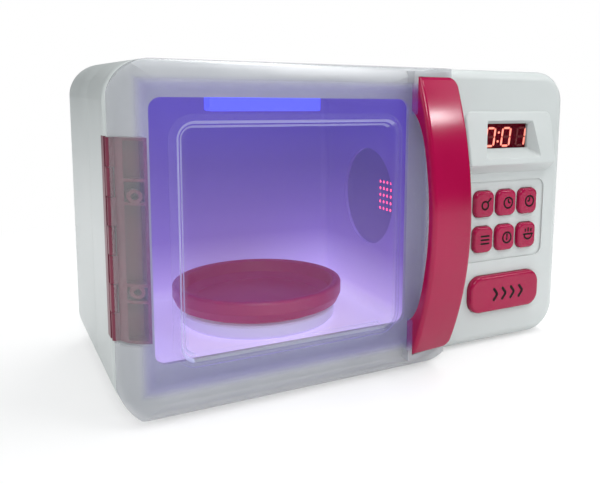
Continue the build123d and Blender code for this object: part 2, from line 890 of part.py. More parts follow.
def handle_front(gap, low, high):
    """The outline of the handle seen from the front, larger by gap, between two levels."""
    outline = Rectangle(handle_width + 2 * gap, high - low + 2 * gap)
    right = outline.vertices().sort_by(Axis.X)[-2:]
    outline = fillet(right, handle_corner + gap)
    plane = Plane(origin=(handle_x(), back(-REACH), up((low + high) / 2)), x_dir=(1, 0, 0), z_dir=(0, 1, 0))
    return extrude(plane * outline, REACH)


def handle_seat(low, high):
    """A raised rim on the door around one foot of the handle, open towards the grip."""
    rim = door_blank(-handle_seat_height) - door_blank(door_wall / 2)
    rim = rim & handle_front(handle_seat_rim, handle_bottom, handle_top)
    rim = rim - handle_front(seat_gap, handle_bottom, handle_top)
    return rim & block(-REACH, case_width, -REACH, 0, low, high)


def door_shell():
    """The frosted outer door, a hollow shell that is open at the back."""
    shell = door_blank(0) - door_blank(door_wall)
    shell = shell - pane_opening(seat_gap, -REACH, REACH)
    shell = shell - hinge_clearance() - hinge_slot()
    shell = shell + handle_seat(handle_bottom - handle_seat_rim, grip_bottom)
    shell = shell + handle_seat(grip_top, handle_top + handle_seat_rim)
    for z in handle_screw_places():
        shell = shell - rod_y(handle_x(), z, handle_screw_radius + seat_gap, -REACH, REACH)
    return shell - latch_hook_seat(seat_gap)


def door_window():
    """The clear pane, sunk behind a bevel and held by a flange behind the shell."""
    front = -door_reach
    floor = front + pane_sink
    outer = tapered(-pane_left, pane_right, pane_bottom, pane_top, pane_corner, front, floor + pane_thickness,
                    pane_bevel)
    edge = pane_thickness
    inner = tapered(-pane_left + edge, pane_right - edge, pane_bottom + edge, pane_top - edge,
                    pane_corner - edge, front, floor, pane_floor_draw)
    flange_front = front + door_wall + seat_gap
    flange = pane_opening(pane_flange, flange_front, flange_front + pane_flange_thickness)
    flange = flange - pane_opening(-pane_bevel, -REACH, REACH)
    flange = flange & door_blank(door_wall + seat_gap)
    return (outer & door_blank(0)) + flange - inner


def knuckle_levels(first):
    """Lower and upper level of every second knuckle, from the first one up."""
    pitch = (hinge_top - hinge_bottom) / hinge_knuckles
    lows = [hinge_bottom + index * pitch for index in range(first, hinge_knuckles, 2)]
    return [(low + fit_gap / 2, low + pitch - fit_gap / 2) for low in lows]


def linked_knuckles(first, x0, x1, y0, y1):
    """Every second knuckle with the tongue that joins it to its leaf."""
    shape = None
    for low, high in knuckle_levels(first):
        piece = rod_z(HINGE_X, HINGE_Y, knuckle_radius, low, high) + block(x0, x1, y0, y1, low, high)
        shape = piece if shape is None else shape + piece
    return shape


def hinge_bore():
    """The hole for the pin through every knuckle."""
    return rod_z(HINGE_X, HINGE_Y, hinge_pin_radius + running_gap, hinge_bottom - CUT, hinge_top + CUT)


def hinge_leaf_door():
    """The magenta leaf inside the door: a ribbed channel, open to the front, with screw bosses."""
    left = -case_width / 2
    right = left + hinge_width
    skin = hinge_skin
    room = block(left, right, -REACH, -door_gap, hinge_bottom, hinge_top)
    blank = door_blank(door_wall + seat_gap) & room
    hollow_left = left + door_wall + 3 * skin
    hollow = block(hollow_left, right - skin, -REACH, -door_gap - 2 * skin,
                   hinge_bottom + skin, hinge_top - skin)
    leaf = blank - hollow
    for z in hinge_rib_levels:
        rib = block(hollow_left - skin, right - skin / 2, -REACH, -door_gap - skin,
                    z - skin / 2, z + skin / 2)
        leaf = leaf + (rib & blank)
    boss_x = (hollow_left + right - skin) / 2
    for z in hinge_boss_levels:
        boss = rod_y(boss_x, z, hinge_boss_radius, -REACH, -door_gap - skin) & blank
        leaf = leaf + boss
    for z in hinge_boss_levels:
        leaf = leaf - rod_y(boss_x, z, hinge_boss_radius / 2, -REACH, -door_gap - 2 * skin)
    link = linked_knuckles(0, HINGE_X, hollow_left, HINGE_Y - knuckle_radius, -door_gap - seat_gap)
    return leaf - hinge_clearance() + link - hinge_bore()


def hinge_leaf_case():
    """The magenta leaf let into the side of the case."""
    side = -case_width / 2
    inner = side + hinge_side_skin
    strip = block(side, inner, hinge_strip_start, hinge_side_reach, hinge_bottom, hinge_top)
    link = linked_knuckles(1, side + hinge_tongue_inset, inner, HINGE_Y, hinge_strip_start + CUT)
    return strip + link - hinge_bore()


def hinge_pin():
    """The steel pin through the knuckles."""
    return rod_z(HINGE_X, HINGE_Y, hinge_pin_radius, hinge_bottom, hinge_top)


def handle_section(x, twist):
    """The side outline of the handle at one of its edges."""
    middle = (grip_bottom + grip_top) / 2
    front = -handle_reach + twist
    inner = front + handle_thickness
    end = front + handle_end_rise
    root = -handle_root_depth
    flare = -door_reach - grip_flare
    outer_low = (back(end), up(handle_bottom))
    outer_high = (back(end), up(handle_top))
    outer = Spline(outer_low, (back(front + handle_low_rise), up(handle_bottom + handle_shoulder)),
                   (back(front), up(middle)),
                   (back(front + handle_high_rise), up(handle_top - handle_shoulder)), outer_high)
    root_low = (back(root), up(grip_bottom - grip_flare))
    root_high = (back(root), up(grip_top + grip_flare))
    grip = Spline(root_low, (back(flare), up(grip_bottom + grip_root)),
                  (back(inner + grip_flare), up(grip_bottom + grip_bend)), (back(inner), up(middle)),
                  (back(inner + grip_flare), up(grip_top - grip_bend)),
                  (back(flare), up(grip_top - grip_root)), root_high)
    back_low = (back(root), up(handle_bottom))
    back_high = (back(root), up(handle_top))
    edges = [outer, Line(outer_high, back_high), Line(back_high, root_high), grip, Line(root_low, back_low),
             Line(back_low, outer_low)]
    plane = Plane(origin=(x, 0, 0), x_dir=(0, 1, 0), z_dir=(1, 0, 0))
    return plane * make_face(Wire(edges))


def handle():
    """The bowed magenta handle, whose feet stand in rims on the door."""
    bow = loft([handle_section(handle_left, 0.0), handle_section(handle_right, handle_twist)])
    bow = bow & handle_front(0, handle_bottom, handle_top)
    bow = rounded_handle(bow)
    bow = bow - door_blank(-seat_gap)
    for z in handle_screw_places():
        bow = bow - rod_y(handle_x(), z, handle_screw_radius - seat_gap, -door_reach - handle_screw_bite, 0)
    return bow


def rounded_handle(bow):
    """The handle with its outer edges rounded."""
    outer = bow.faces().sort_by(Axis.Y)[0]
    return fillet(outer.edges(), handle_edge)


def handle_screws():
    """Two screws that pass through the door's shell into the handle."""
    seat = -door_reach + handle_screw_seat
    shank_radius = handle_screw_radius - seat_gap - running_gap
    screws = []
    for z in handle_screw_places():
        head = rod_y(handle_x(), z, handle_screw_head, seat, seat + handle_screw_head_height)
        shank = rod_y(handle_x(), z, shank_radius, -door_reach - handle_screw_bite + seat_gap, seat)
        screws.append(head + shank)
    return Compound(screws)


# Latch
def latch_hook_seat(gap):
    """The root of the door's hook."""
    x0 = latch_slot_left + latch_hook_inset
    half = latch_hook_height / 2
    root = block(x0 - gap, x0 + latch_hook_thickness + gap, -REACH, -door_gap - latch_root_depth,
                 button_level - half - gap, button_level + half + gap)
    return root & door_blank(door_wall / 2)


def latch_hook():
    """The tongue on the door that enters the case, with a barb at its tip."""
    x0 = latch_slot_left + latch_hook_inset
    half = latch_hook_height / 2
    tip = wall + slide_gap + latch_tooth_depth + slide_gap + latch_barb_length
    tongue = block(x0, x0 + latch_hook_thickness, -door_gap - latch_root_depth, tip,
                   button_level - half, button_level + half)
    barb = block(x0, x0 + latch_hook_thickness + latch_barb, tip - latch_barb_length, tip,
                 button_level - half, button_level + half)
    barb = chamfer(barb.edges().filter_by(Axis.Z).sort_by(Axis.Y)[-1], latch_barb - seat_gap)
    return tongue + barb + latch_hook_seat(0)


def ramp_place():
    """X of the ramp's tip, and how far behind the panel the slider's bar ends."""
    return (panel_x - ramp_shift, wall + slide_gap + latch_bar_setback)


def latch_slider():
    """The bar that holds the hook and moves aside when the button is pressed."""
    hook_x = latch_slot_left + latch_hook_inset + latch_hook_thickness + latch_barb + fit_gap
    tooth_x = hook_x + latch_tooth_width
    arm_x = tooth_x - latch_arm
    front = wall + slide_gap
    low = button_level - latch_hook_height / 2
    high = button_level + latch_rise
    bar_top = low + latch_bar_height
    ramp_x, back_y = ramp_place()
    slope_x = ramp_x + latch_wedge + fit_gap
    end_x = ramp_x + latch_wedge + latch_wedge_back
    tooth = block(hook_x, tooth_x, front, front + latch_tooth_depth, low, high)
    arm = block(arm_x, tooth_x, front, back_y, low, bar_top)
    bar = block(arm_x, end_x, back_y - latch_bar_depth, back_y, low, bar_top)
    wedge = make_face(Polyline(
        (ramp_x + fit_gap, back(back_y)),
        (slope_x, back(back_y - latch_wedge)),
        (end_x, back(back_y - latch_wedge)),
        (end_x, back(back_y)),
        close=True))
    ramp = extrude(Plane(origin=(0, 0, up(low))) * wedge, high - low)
    return tooth + arm + bar + ramp


def button_outline(gap, y0, y1):
    """The pill-shaped outline of the door button, larger by gap."""
    half = button_width / 2 + gap
    tall = button_height / 2 + gap
    return slab(panel_x - half, panel_x + half, button_level - tall, button_level + tall,
                button_height / 2 * button_end_share + gap, y0, y1)


def stem_places():
    """Middles of the button's two guide stems."""
    x = button_width / 2 - button_stem_inset
    z = button_level + button_height / 2 - button_stem_radius - button_stem_drop
    return [(panel_x + side * x, z) for side in (-1, 1)]


def open_button():
    """The wide button that opens the door, with its guide stems and wedge."""
    cap = button_outline(0, -button_stand, wall + cap_root)
    cap = fillet(cap.faces().sort_by(Axis.Y)[0].edges(), button_edge)
    flange_front = wall + slide_gap
    button = cap + button_outline(button_flange, flange_front, flange_front + button_flange)
    for x, z in stem_places():
        stem_end = bracket_setback + bracket_thickness - button_stem_end
        button = button + rod_y(x, z, button_stem_radius, wall, stem_end)
    ramp_x, back_y = ramp_place()
    low = button_level - latch_hook_height / 2 + latch_bar_height + fit_gap
    left = ramp_x - rib_width
    right = ramp_x + latch_wedge - rib_relief
    wedge = make_face(Polyline(
        (left, back(wall + cap_root)),
        (right, back(wall + cap_root)),
        (right, back(back_y - latch_wedge + rib_relief - fit_gap)),
        (ramp_x, back(back_y - fit_gap)),
        (left, back(back_y - fit_gap)),
        close=True))
    rib = extrude(Plane(origin=(0, 0, up(low))) * wedge, button_level + latch_rise - low)
    return button + rib


def latch_bracket():
    """The plate behind the button that guides its stems and carries the slider."""
    shelf_top = button_level - latch_hook_height / 2 - fit_gap
    low = shelf_top - bracket_margin
    left = panel_x - bracket_width / 2
    right = panel_x + bracket_width / 2
    lug_low = button_level + button_height / 2
    high = lug_low + bracket_margin
    rear = bracket_setback + bracket_thickness
    plate = block(left, right, bracket_setback, rear, low, high)
    shelf = block(left, right, wall + bracket_shelf_start, bracket_setback, low, shelf_top)
    bracket = plate + shelf
    for x in (left, right - bracket_lug):
        lug = block(x, x + bracket_lug, wall, bracket_setback, lug_low, lug_low + bracket_lug_height)
        rib = block(x, x + bracket_lug, bracket_setback - bracket_thickness / 2, bracket_setback, low, high)
        bracket = bracket + lug + rib
    for x, z in stem_places():
        bracket = bracket - rod_y(x, z, button_stem_radius + slide_gap, bracket_setback - CUT, rear + CUT)
    return bracket


def coil(x, z, y0, y1):
    """A coil spring along Y with round wire."""
    pitch = (y1 - y0) / spring_turns
    path = Helix(pitch, y1 - y0, spring_radius)
    start = Plane(origin=path @ 0, z_dir=path % 0)
    wire = sweep(start * Circle(spring_wire), path, is_frenet=True)
    return Pos(x, back(y0), up(z)) * (Rot(-90, 0, 0) * wire)


def button_springs():
    """Two coil springs that push the button back out."""
    y0 = wall + slide_gap + button_flange + spring_wire + seat_gap
    y1 = bracket_setback - spring_wire - seat_gap
    return Compound([coil(x, z, y0, y1) for x, z in stem_places()])


# Keys and electronics
def key_outline(x, z, gap, y0, y1):
    """The rounded outline of one key, larger by gap."""
    return slab(x - key_width / 2 - gap, x + key_width / 2 + gap, z - key_height / 2 - gap,
                z + key_height / 2 + gap, key_corner + gap, y0, y1)


def key(x, z):
    """One key with its retaining flange and plunger."""
    front = keypad_recess_depth - key_stand
    cap = key_outline(x, z, 0, front, wall + cap_root)
    cap = fillet(cap.faces().sort_by(Axis.Y)[0].edges(), key_edge)
    flange_back = wall + slide_gap + key_flange_thickness
    flange = key_outline(x, z, key_flange, wall + slide_gap, flange_back)
    plunger = rod_y(x, z, key_plunger_radius, wall, flange_back + key_plunger_length)
    return cap + flange + plunger


def keypad_mat():
    """The rubber mat on the circuit board, with a dome below each key."""
    front = board_setback - mat_thickness
    half = keypad_recess_width / 2
    mat = slab(panel_x - half, panel_x + half, keypad_recess_bottom, keypad_recess_top, mat_corner,
               front, board_setback)
    tip = wall + slide_gap + key_flange_thickness + key_plunger_length + key_travel + slide_gap
    for x, z in keypad_places():
        mat = mat + rod_y(x, z, mat_dome_radius, tip, front)
    return mat


def main_board():
    """The circuit board behind the keys and the display."""
    half = keypad_recess_width / 2 + board_margin
    rear = board_setback + board_thickness
    board = block(panel_x - half, panel_x + half, board_setback, rear,
                  keypad_recess_bottom - board_margin, bezel_top)
    chip = block(panel_x - chip_size / 2, panel_x + chip_size / 2, rear, rear + chip_thickness,
                 keypad_low_row + chip_low, keypad_low_row + chip_high)
    return board + chip


def board_post_places():
    """Middles of the four pillars that hold the board to the panel."""
    half = keypad_recess_width / 2
    high = bezel_top - board_post_radius
    low = keypad_recess_bottom - board_post_radius
    return [(panel_x + side * half, z) for side in (-1, 1) for z in (low, high)]


def display_module():
    """The three-digit display on the board."""
    half = display_width / 2 + display_lens_margin - display_body_inset
    tall = display_height / 2 + display_lens_margin - display_body_inset
    front = board_setback - display_body_depth
    return block(panel_x - half, panel_x + half, front, board_setback,
                 display_level - tall, display_level + tall)


def display_lens():
    """The dark red window over the display."""
    half = display_width / 2 + display_lens_margin
    tall = display_height / 2 + display_lens_margin
    return block(panel_x - half, panel_x + half, wall, wall + display_lens_thickness,
                 display_level - tall, display_level + tall)


# Batteries
def battery_x():
    """X of the middle of the battery tray."""
    return panel_x - battery_shift


def battery_y():
    """How far behind the panel the axes of the cells lie."""
    return cover_front() - fit_gap - cell_slack - cell_radius


def cell_places():
    """X of each cell's axis."""
    return [battery_x() + (index - (cell_count - 1) / 2) * cell_pitch for index in range(cell_count)]


def tray_half():
    """Half the inner width of the battery tray."""
    return cell_pitch * cell_count / 2 + tray_side_room


def tray_top():
    """Level of the tray's inner top, below its screw strip."""
    return tray_bottom + cell_length + 2 * contact_space


def cover_blank(gap, y0, y1):
    """The battery cover's outline, larger by gap."""
    half = tray_half() + tray_wall + cover_margin + gap
    top = tray_top() + tray_screw_strip + gap
    return slab(battery_x() - half, battery_x() + half, tray_bottom - cover_drop - gap, top,
                cover_corner + gap, y0, y1)


def cover_front():
    """How far behind the panel the inner face of the cover lies."""
    return case_depth - cover_thickness


def screw_place():
    """X and level of the battery cover's screw."""
    return (battery_x(), tray_top() + tray_screw_strip / 2)


def battery_tray():
    """The open box for the cells, with a rim behind the cover."""
    half = tray_half()
    x = battery_x()
    rear = cover_front() - fit_gap
    front = rear - 2 * cell_radius - tray_floor_room - tray_wall
    top = tray_top()
    rim_front = rear - tray_rim_thickness
    box = block(x - half - tray_wall, x + half + tray_wall, front, rear,
                tray_bottom - tray_wall, top + tray_wall)
    inner = block(x - half, x + half, front + tray_wall, rear + CUT, tray_bottom, top)
    tray = box - inner
    strip = block(x - half - tray_wall, x + half + tray_wall, rim_front, rear, top,
                  top + tray_screw_strip + tray_strip_overlap)
    mouth = block(x - half, x + half, front, rear + CUT, tray_bottom, top)
    tray = tray + strip + (cover_blank(tray_rim, rim_front, rear) - mouth)
    for index in range(1, cell_count):
        rib_x = x + (index - cell_count / 2) * cell_pitch
        tray = tray + block(rib_x - tray_rib / 2, rib_x + tray_rib / 2, front, rear - cell_radius,
                            tray_bottom, top)
    sx, sz = screw_place()
    boss = rod_y(sx, sz, tray_boss_radius, rear - cover_screw_length, rear)
    hole = rod_y(sx, sz, cover_screw_radius + running_gap, rear - cover_screw_length - CUT, rear + CUT)
    return tray + boss - hole


def battery_cells():
    """Three cells side by side."""
    low = tray_bottom + contact_space
    shoulder = low + cell_length - cell_tip_height
    cells = []
    for x in cell_places():
        body = rod_z(x, battery_y(), cell_radius, low, shoulder)
        tip = rod_z(x, battery_y(), cell_tip_radius, shoulder, low + cell_length)
        cells.append(body + tip)
    return Compound(cells)


def contact(x, level, turn):
    """One metal strip with a sprung bump that points along turn, which is 1 for up and -1 for down."""
    half = contact_width / 2
    face = level + turn * contact_thickness
    strip = block(x - half, x + half, battery_y() - half, battery_y() + half,
                  min(level, face), max(level, face))
    cone = Cone(contact_root_radius, contact_tip_radius, contact_space - 2 * contact_thickness,
                align=(Align.CENTER, Align.CENTER, Align.MIN))
    if turn < 0:
        cone = Rot(180, 0, 0) * cone
    return strip + Pos(x, back(battery_y()), up(face)) * cone


def battery_contacts():
    """Metal strips at both ends of the cells, each with a sprung bump."""
    strips = []
    for x in cell_places():
        strips.append(contact(x, tray_bottom, 1))
        strips.append(contact(x, tray_top(), -1))
    return Compound(strips)


def battery_cover():
    """The flush cover with finger ridges and a hole for its captive screw."""
    cover = cover_blank(0, cover_front(), case_depth)
    sx, sz = screw_place()
    cover = cover - rod_y(sx, sz, cover_screw_radius + seat_gap, 0, case_depth + CUT)
    cover = cover - rod_y(sx, sz, cover_screw_head + seat_gap, case_depth - cover_screw_sink,
                          case_depth + CUT)
    half = cover_ridge_length / 2
    for index in range(cover_ridge_count):
        z = tray_bottom + cover_ridge_level + cover_ridge_pitch * index
        cover = cover - block(sx - half, sx + half, case_depth - cover_ridge_depth, case_depth + CUT,
                              z - cover_ridge_width / 2, z + cover_ridge_width / 2)
    return cover


def cover_screw():
    """The captive screw of the battery cover, with a cross slot."""
    sx, sz = screw_place()
    seat = case_depth - cover_screw_sink
    tip = cover_front() - fit_gap - cover_screw_length + cover_screw_tip_room
    head = rod_y(sx, sz, cover_screw_head, seat, case_depth - seat_gap)
    shank = rod_y(sx, sz, cover_screw_radius, tip, seat)
    long = cross_length / 2
    thin = cross_width / 2
    floor = case_depth - seat_gap - cross_depth
    slot = block(sx - long, sx + long, floor, case_depth, sz - thin, sz + thin)
    cross = block(sx - thin, sx + thin, floor, case_depth, sz - long, sz + long)
    return head + shank - slot - cross


# Power switch
def knob_track(y0, y1):
    """The slot that the switch's knob slides in."""
    half = knob_width / 2 + fit_gap
    tall = knob_height / 2 + fit_gap
    return block(panel_x - half, panel_x + half + switch_travel, y0, y1,
                 switch_level - tall, switch_level + tall)


def power_switch():
    """The body of the slide switch behind the back wall."""
    rear = case_depth - wall
    middle = panel_x + switch_travel / 2
    body = block(middle - switch_width / 2, middle + switch_width / 2, rear - switch_depth, rear,
                 switch_level - switch_height / 2, switch_level + switch_height / 2)
    return body - knob_track(rear - knob_track_depth, rear + CUT)


def switch_knob():
    """The sliding knob of the power switch, level with the back."""
    floor = case_depth - wall - knob_track_depth
    return block(panel_x - knob_width / 2, panel_x + knob_width / 2, floor + fit_gap, case_depth - knob_sink,
                 switch_level - knob_height / 2, switch_level + knob_height / 2)


def case_screws():
    """Four screws, put in from the back, that hold the shells together."""
    seat = shell_join + case_screw_grip
    head_end = seat + case_screw_head_height
    long = case_screw_slot_length / 2
    thin = case_screw_slot_width / 2
    screws = []
    for x, z in screw_posts():
        head = rod_y(x, z, case_screw_head, seat, head_end)
        shank = rod_y(x, z, case_screw_radius - case_screw_shank_gap, seat - case_screw_length, seat)
        slot = block(x - long, x + long, head_end - case_screw_slot_depth, head_end + CUT, z - thin, z + thin)
        screws.append(head + shank - slot)
    return Compound(screws)


os.makedirs("parts", exist_ok=True)
keep("front_shell", front_shell())
keep("rear_shell", rear_shell())
for side, sx in (("left", -1), ("right", 1)):
    for end, y in (("front", foot_inset_front), ("rear", case_depth - foot_inset_back)):
        keep("foot_" + end + "_" + side, foot(sx * (case_width / 2 - foot_inset_x), y))
keep("cavity_liner", cavity_liner())
keep("speaker_grille", speaker_grille())
keep("speaker", speaker())
keep("indicator_led", indicator_led())
keep("light_lens", light_lens())
keep("light_board", light_board())
keep("turntable_gear", turntable_gear())
keep("reduction_gear", reduction_gear())
keep("motor_pinion", motor_pinion())
keep("drive_motor", motor())
keep("gear_chassis", gear_chassis())
keep("gear_pins", gear_pins())
keep("turntable_base", turntable_base())
keep("turntable_plate", turntable_plate())
keep("door_shell", door_shell())
keep("door_window", door_window())
keep("door_hinge_leaf", hinge_leaf_door())
keep("case_hinge_leaf", hinge_leaf_case())
keep("hinge_pin", hinge_pin())
keep("door_handle", handle())
keep("handle_screws", handle_screws())
keep("latch_hook", latch_hook())
keep("latch_slider", latch_slider())
keep("open_button", open_button())
keep("latch_bracket", latch_bracket())
keep("button_springs", button_springs())
for number, (x, z) in enumerate(keypad_places(), start=1):
    keep("key_" + str(number), key(x, z))
keep("keypad_mat", keypad_mat())
keep("main_board", main_board())
keep("display_module", display_module())
keep("display_lens", display_lens())
keep("battery_tray", battery_tray())
keep("battery_cells", battery_cells())
keep("battery_contacts", battery_contacts())
keep("battery_cover", battery_cover())
keep("cover_screw", cover_screw())
keep("power_switch", power_switch())
keep("switch_knob", switch_knob())
keep("case_screws", case_screws())
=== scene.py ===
# %% [markdown]
# A toy microwave oven, modelled around its engineering parts.
# The parts come in first as a fixed frame: they are at their real size and place, in metres.
# Everything that follows gives them their finish, and adds the printed and glowing detail that
# a maker sees when the toy is held in the hand.

import math

import bmesh
import bpy
from mathutils import Matrix, Vector


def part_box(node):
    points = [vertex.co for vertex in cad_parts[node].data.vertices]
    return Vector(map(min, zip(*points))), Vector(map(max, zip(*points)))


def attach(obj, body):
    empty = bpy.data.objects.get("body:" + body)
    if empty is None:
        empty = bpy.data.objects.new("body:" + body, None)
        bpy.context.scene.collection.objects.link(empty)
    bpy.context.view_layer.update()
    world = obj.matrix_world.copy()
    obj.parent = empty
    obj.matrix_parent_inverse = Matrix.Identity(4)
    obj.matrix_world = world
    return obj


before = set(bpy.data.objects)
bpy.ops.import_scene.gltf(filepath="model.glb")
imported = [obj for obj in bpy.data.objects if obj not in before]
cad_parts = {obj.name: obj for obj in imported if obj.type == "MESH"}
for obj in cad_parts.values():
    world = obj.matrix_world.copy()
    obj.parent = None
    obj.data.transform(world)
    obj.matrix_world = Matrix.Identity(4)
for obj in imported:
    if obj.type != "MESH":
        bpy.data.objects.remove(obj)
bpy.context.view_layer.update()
MM = 0.001

# %% [markdown]
# The camera stands where a person would who looks at the toy from the left and a little above.
# Its turn, tilt and roll are written in degrees and its place in millimetres, so that they can
# be read and changed. A small shift keeps the picture's crop without turning the camera.

# %% Camera
IMAGE_WIDTH = 600
IMAGE_HEIGHT = 484
CAMERA_PLACE = Vector((-197.8, -390.4, 163.9)) * MM
CAMERA_TURN = 30.14
CAMERA_TILT = 7.97
CAMERA_ROLL = -0.91
CAMERA_FOCUS = 694.8
CAMERA_CENTRE = (374.5, 187.3)


def add_camera():
    turn = math.radians(CAMERA_TURN)
    tilt = math.radians(CAMERA_TILT)
    roll = math.radians(CAMERA_ROLL)
    ahead = Vector((math.sin(turn) * math.cos(tilt), math.cos(turn) * math.cos(tilt), -math.sin(tilt)))
    level = Vector((math.cos(turn), -math.sin(turn), 0))
    down = ahead.cross(level)
    right = math.cos(roll) * level + math.sin(roll) * down
    below = -math.sin(roll) * level + math.cos(roll) * down
    data = bpy.data.cameras.new("camera")
    data.sensor_width = 36
    data.lens = CAMERA_FOCUS * data.sensor_width / IMAGE_WIDTH
    data.shift_x = (IMAGE_WIDTH / 2 - CAMERA_CENTRE[0]) / IMAGE_WIDTH
    data.shift_y = (CAMERA_CENTRE[1] - IMAGE_HEIGHT / 2) / IMAGE_WIDTH
    data.clip_start = 0.01
    camera = bpy.data.objects.new("camera", data)
    axes = Matrix((right, -below, -ahead)).transposed().to_4x4()
    camera.matrix_world = Matrix.Translation(CAMERA_PLACE) @ axes
    bpy.context.scene.collection.objects.link(camera)
    bpy.context.scene.camera = camera


add_camera()
bpy.context.scene.view_settings.view_transform = "Standard"
print("camera at", tuple(round(v, 3) for v in CAMERA_PLACE))

# %% [markdown]
# The toy stands on a large disc of paper. Near the toy the paper takes the soft shadow, and further
# out it fades to plain white, so no horizon shows. The fade is a shader trick, and a common one:
# for camera rays only, white emission is mixed in by distance from the middle of the disc.

# %% Floor
FLOOR_SIZE = 6.0
FADE_START = 0.12
FADE_END = 0.5
NEAR_WHITE = 0.5


def add_floor():
    bpy.ops.object.select_all(action="DESELECT")
    bpy.ops.mesh.primitive_circle_add(vertices=96, radius=FLOOR_SIZE, fill_type="NGON", location=(0, 0, 0))
    floor = bpy.context.object
    floor.name = "floor"
    paper = bpy.data.materials.new("floor_paper")
    paper.use_nodes = True
    tree = paper.node_tree
    shader = tree.nodes["Principled BSDF"]
    shader.inputs["Base Color"].default_value = (0.9, 0.9, 0.9, 1)
    shader.inputs["Roughness"].default_value = 0.9
    white = tree.nodes.new("ShaderNodeEmission")
    white.inputs["Color"].default_value = (1, 1, 1, 1)
    white.inputs["Strength"].default_value = 1.0
    place = tree.nodes.new("ShaderNodeTexCoord")
    length = tree.nodes.new("ShaderNodeVectorMath")
    length.operation = "LENGTH"
    fade = tree.nodes.new("ShaderNodeMapRange")
    fade.inputs["From Min"].default_value = FADE_START
    fade.inputs["From Max"].default_value = FADE_END
    fade.inputs["To Min"].default_value = NEAR_WHITE
    fade.inputs["To Max"].default_value = 1.0
    path = tree.nodes.new("ShaderNodeLightPath")
    seen = tree.nodes.new("ShaderNodeMath")
    seen.operation = "MULTIPLY"
    mix = tree.nodes.new("ShaderNodeMixShader")
    out = tree.nodes["Material Output"]
    tree.links.new(place.outputs["Object"], length.inputs[0])
    tree.links.new(length.outputs["Value"], fade.inputs["Value"])
    tree.links.new(fade.outputs["Result"], seen.inputs[0])
    tree.links.new(path.outputs["Is Camera Ray"], seen.inputs[1])
    tree.links.new(seen.outputs[0], mix.inputs["Fac"])
    tree.links.new(shader.outputs["BSDF"], mix.inputs[1])
    tree.links.new(white.outputs["Emission"], mix.inputs[2])
    tree.links.new(mix.outputs[0], out.inputs["Surface"])
    floor.data.materials.append(paper)


add_floor()
print("floor radius", FLOOR_SIZE)

# %% [markdown]
# The world gives soft even light from all sides, and shows plain white to the camera and through
# glass. Mirrors see a dim level, so that deep colours stay deep. A large lamp in front, a weaker one
# on each side, and a long strip above the toy shape the rounded plastic. Small bright lamps make
# the crisp points of light that tell glossy plastic from satin.

# %% World and lamps
WORLD_LEVEL = 0.5
MIRROR_LEVEL = 0.12


def light_world():
    world = bpy.data.worlds.new("studio")
    bpy.context.scene.world = world
    world.use_nodes = True
    tree = world.node_tree
    tree.nodes.clear()
    path = tree.nodes.new("ShaderNodeLightPath")
    soft = tree.nodes.new("ShaderNodeBackground")
    soft.inputs["Color"].default_value = (0.95, 0.98, 1.0, 1)
    soft.inputs["Strength"].default_value = WORLD_LEVEL
    white = tree.nodes.new("ShaderNodeBackground")
    white.inputs["Color"].default_value = (1, 1, 1, 1)
    white.inputs["Strength"].default_value = 1.0
    mirrored = tree.nodes.new("ShaderNodeBackground")
    mirrored.inputs["Color"].default_value = (0.95, 0.98, 1.0, 1)
    mirrored.inputs["Strength"].default_value = MIRROR_LEVEL
    dimmed = tree.nodes.new("ShaderNodeMixShader")
    plain_ray = tree.nodes.new("ShaderNodeMath")
    plain_ray.operation = "MAXIMUM"
    mix = tree.nodes.new("ShaderNodeMixShader")
    out = tree.nodes.new("ShaderNodeOutputWorld")
    tree.links.new(path.outputs["Is Camera Ray"], plain_ray.inputs[0])
    tree.links.new(path.outputs["Is Transmission Ray"], plain_ray.inputs[1])
    tree.links.new(plain_ray.outputs[0], mix.inputs["Fac"])
    tree.links.new(path.outputs["Is Glossy Ray"], dimmed.inputs["Fac"])
    tree.links.new(soft.outputs[0], dimmed.inputs[1])
    tree.links.new(mirrored.outputs[0], dimmed.inputs[2])
    tree.links.new(dimmed.outputs[0], mix.inputs[1])
    tree.links.new(white.outputs[0], mix.inputs[2])
    tree.links.new(mix.outputs[0], out.inputs["Surface"])


def add_lamp(name, place, size, power, width=None):
    data = bpy.data.lights.new(name, "AREA")
    data.shape = "RECTANGLE" if width else "DISK"
    data.size = size
    if width:
        data.size_y = width
    data.energy = power
    lamp = bpy.data.objects.new(name, data)
    aim = Vector((0, 0, 0.08)) - Vector(place)
    lamp.matrix_world = Matrix.Translation(place) @ aim.to_track_quat("-Z", "Y").to_matrix().to_4x4()
    bpy.context.scene.collection.objects.link(lamp)


light_world()
add_lamp("key_lamp", (-0.5, -1.1, 1.2), 0.9, 8)
add_lamp("side_lamp", (-1.4, 0.1, 0.7), 0.8, 4)
add_lamp("right_lamp", (1.3, -0.6, 0.9), 0.7, 2)
add_lamp("top_strip", (0.4, 0.05, 1.1), 1.8, 14, 0.25)
add_lamp("spark_lamp", (-0.25, -0.9, 0.75), 0.09, 1.2)
add_lamp("second_spark_lamp", (0.75, -0.7, 0.6), 0.07, 0.8)
print("lamps", len(bpy.data.lights))

# %% [markdown]
# Moulded plastic is never one flat colour. Each finish below starts from the same small recipe:
# a fine noise for the grain of the mould, a broad noise that lets the colour and the gloss drift a
# little, and a bump that follows the grain. All patterns read Object coordinates, so they stay
# fixed to the part when it moves. The specular level tells how much of the room a surface
# mirrors: deep colours need a low one, or they turn pink.

# %% Shared recipe for moulded plastic


def set_value(shader, name, value):
    shader.inputs[name].default_value = value


def object_noise(tree, scale, detail=3.0):
    place = tree.nodes.new("ShaderNodeTexCoord")
    noise = tree.nodes.new("ShaderNodeTexNoise")
    noise.inputs["Scale"].default_value = scale
    noise.inputs["Detail"].default_value = detail
    tree.links.new(place.outputs["Object"], noise.inputs["Vector"])
    return noise


